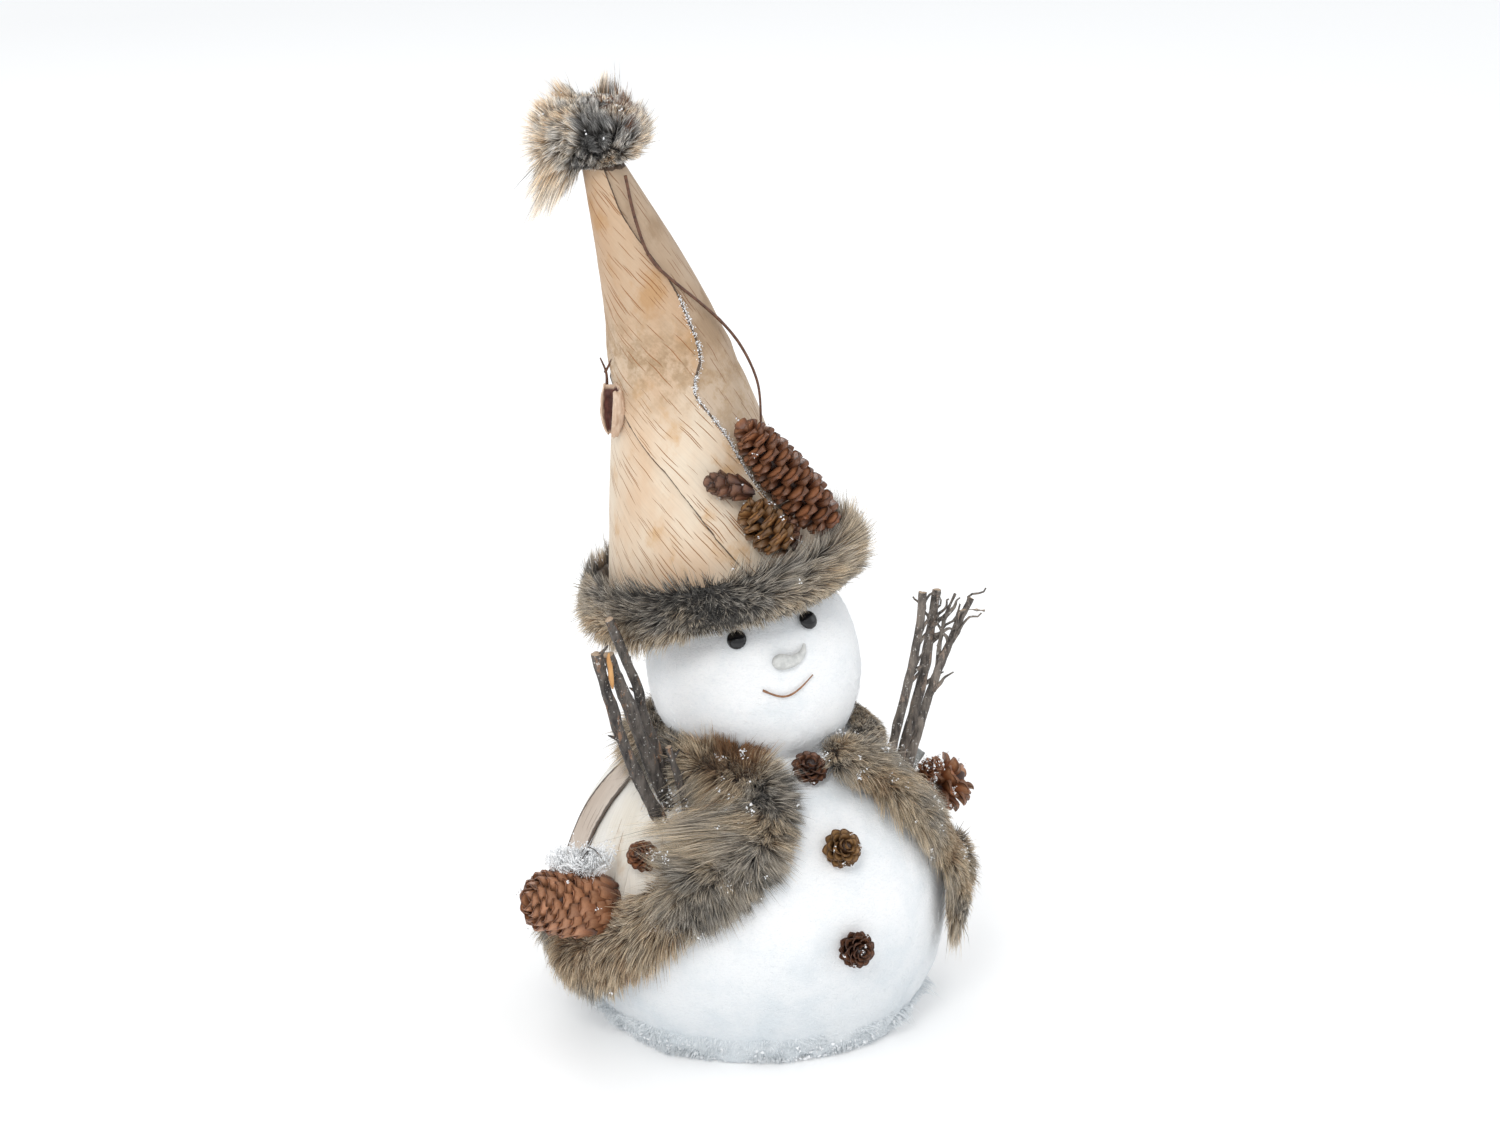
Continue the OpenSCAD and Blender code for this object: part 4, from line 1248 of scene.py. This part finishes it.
def eye_piece(node):
    """A glossy domed bead."""
    mesh = remeshed(node, 0.35 * MM, 6)
    mesh.shade_smooth()
    add_piece(node + "_bead", mesh, bead, "bead", node)


eye_piece("eye_left")
eye_piece("eye_right")


# --- frost ---
def flake_piece(name, spots, size):
    """Loose crumbs of artificial snow at the spots, each a small crooked crystal."""
    rng = seeded(name)
    count = len(spots)
    corners = np.array([[1, 0, 0], [0, 1, 0], [-1, 0, 0], [0, -1, 0], [0, 0, 0.6], [0, 0, -0.6]])
    round_waist = [(k, (k + 1) % 4) for k in range(4)]
    faces = np.array([(a, b, 4) for a, b in round_waist] + [(b, a, 5) for a, b in round_waist])
    shape = corners[None] * rng.uniform(0.5, 1.4, (count, 6, 1)) + 0.2 * rng.normal(size=(count, 6, 3))
    spin = np.stack([np.array(Matrix.Rotation(a, 3, Vector(d)))
                     for a, d in zip(rng.uniform(0, 6.3, count), rng.normal(size=(count, 3)))])
    shape = np.einsum("nij,nkj->nki", spin, shape) * (rng.uniform(0.5, 1, count) * size * MM)[:, None, None]
    points = (spots[:, None] + shape).reshape(-1, 3)
    mesh = make_mesh(name, points, [(faces[None] + 6 * np.arange(count)[:, None, None]).reshape(-1, 3)])
    mesh.shade_flat()
    add_piece(name, mesh, snow, "fibre")


frost_rng = seeded("frost")


def pick_spots(keys, clusters, each, spread):
    """Clusters of spots round points where frost settles; spread in millimetres."""
    spots = np.concatenate([perches[k] for k in keys])
    chosen = np.repeat(spots[frost_rng.choice(len(spots), clusters)], each, axis=0)
    return chosen + spread * MM * frost_rng.normal(size=chosen.shape)


cone_names = [n for n in perches if n.startswith(("cone", "button", "hat_cone"))]
fur_names = ["fur_lapel_left", "fur_lapel_right", "fur_brim", "fur_pompom", "fur_hem"]
flake_piece("frost_on_cones", np.concatenate([
    pick_spots(cone_names, 60, 5, 0.7),
    pick_spots(["cone_shoulder_open", "cone_shoulder_small"], 40, 6, 0.8)]), 0.65)
flake_piece("frost_on_fur", np.concatenate([
    pick_spots(fur_names, 70, 3, 0.7),
    pick_spots(["fur_lapel_right", "fur_lapel_left"], 22, 14, 1.4)]), 0.75)
feet = np.array([foot_of(arm) for arm in arms])
feet = np.repeat(feet + 3 * MM * unit(feet - body_c) + 2 * MM * VIEWER, 60, axis=0)
flake_piece("frost_on_arms", feet + 3.4 * MM * frost_rng.normal(size=feet.shape), 0.9)
flake_piece("frost_on_hat", np.concatenate([
    pick_spots(["hat_bark_front_edge"], 620, 6, 0.7),
    pick_spots(["hat_bark_front_skin"], 420, 1, 0.15),
    pick_spots(["hat_bark_rear_edge"], 60, 4, 0.8)]), 0.45)


def frosted_tuft():
    """A tuft of snowy fibre on the body above the big cone, with a curled dark thread in it."""
    rng = seeded("tuft")
    low, high = box_of("cone_side_big")
    nest = (low + high) / 2 + 3 * MM * VIEW_RIGHT
    nest[2] = high[2] + 1.5 * MM
    count = 2200
    out = unit(rng.normal(size=(count, 3))) * rng.random((count, 1)) ** 0.5
    roots = nest + MM * (17 * out[:, :1] * VIEW_RIGHT + 9 * out[:, 1:2] * VIEWER - 6.5 * out[:, 2:] * DOWN)
    drift = noise_vectors(roots, 5, 2)
    lines, sides = comb(roots, out - 0.5 * DOWN + 0.9 * drift, 0.5 * drift, MM * rng.uniform(3, 8, count),
                        rng, clumps=320, gather=0.85, spread=0.5)
    fuzz_piece("frosted_tuft", lines, sides, 0.3, 0.7, rng)
    ends = lines[rng.choice(count, 620), -1]
    flake_piece("frost_on_tuft", ends + 0.9 * MM * rng.normal(size=ends.shape), 0.9)
    t = np.linspace(0, 1, 40)
    loop = np.stack([9 * (t - 0.5) + 3 * np.sin(9 * t), -2 * np.cos(7 * t), 3.5 * np.sin(12 * t) + 3 * t], 1)
    path = nest + 4 * MM * (VIEW_RIGHT + VIEWER - DOWN) + loop * MM
    tube_piece("tuft_thread", [(path, 0.28 + 0 * t)], twig_bark, "twig")


def base_crumbs():
    """Crumbs of loose fibre and snow along the torn edge at the foot."""
    rng = seeded("base_crumbs")
    count = 500
    turn = rng.uniform(0, 2 * math.pi, count)
    z = 1.5 * MM + 9 * MM * rng.random(count) ** 2
    ring = ring_at(z)
    out = np.stack([np.cos(turn), np.sin(turn)], 1)
    ragged = value_noise(np.column_stack([out * ring[:, None], 0 * z]), 13, 12)
    reach = ring + (2 + 3.5 * ragged * rng.random(count)) * MM
    flake_piece("base_crumbs", np.column_stack([body_c[:2] + out * reach[:, None], z]), 1.3)


frosted_tuft()
base_crumbs()


# --- stage ---
def stage():
    """A wide pale floor, soft studio light and a pale surround."""
    corners = 30.0 * np.array([[-1, -1, 0], [1, -1, 0], [1, 1, 0], [-1, 1, 0]])
    mesh = make_mesh("floor", corners, [[[0, 1, 2, 3]]])
    s = Shader("floor", 0.9, Emission_Color=(1, 1, 1, 1), Emission_Strength=0.2)
    mesh.materials.append(s.finish(s.ramp(s.noise(s.place(), 900, 2), (0.0, 0.86), (1.0, 0.88))))
    linked("floor", mesh)

    world = bpy.data.worlds.new("surround")
    world.use_nodes = True
    light = world.node_tree.nodes["Background"].inputs
    light["Color"].default_value = (0.96, 0.98, 1.0, 1)
    light["Strength"].default_value = 0.85
    bpy.context.scene.world = world

    middle = Vector((0, 0, 0.22))

    def lamp(name, place, size, power, colour):
        light = bpy.data.lights.new(name, "AREA")
        light.shape = "DISK"
        light.size, light.energy, light.color = size, power, colour
        holder = linked(name, light)
        holder.location = place
        aim = middle - Vector(place)
        holder.rotation_euler = aim.to_track_quat("-Z", "Y").to_euler()

    lamp("key", (-1.3, -1.5, 1.7), 0.8, 20, (1.0, 0.985, 0.96))
    lamp("fill", (1.7, -0.9, 1.0), 1.2, 3, (0.94, 0.97, 1.0))
    lamp("back", (0.4, 1.8, 1.4), 1.0, 8, (1.0, 1.0, 1.0))


def camera():
    """A long lens, low over the figure's left front, that shows all of it with room to spare."""
    elevation, distance = math.radians(18), 2.2
    aim_height, shift_right = 0.2385, -0.0035
    back = Vector(VIEWER * math.cos(elevation) - DOWN * math.sin(elevation))
    data = bpy.data.cameras.new("camera")
    data.lens, data.sensor_width = 105.6, 36
    data.clip_start, data.clip_end = 0.1, 100
    holder = linked("camera", data)
    holder.location = Vector((0, 0, aim_height)) + shift_right * Vector(VIEW_RIGHT) + distance * back
    holder.rotation_euler = (-back).to_track_quat("-Z", "Y").to_euler()
    bpy.context.scene.camera = holder


stage()
camera()
bpy.context.scene.view_settings.view_transform = "Standard"
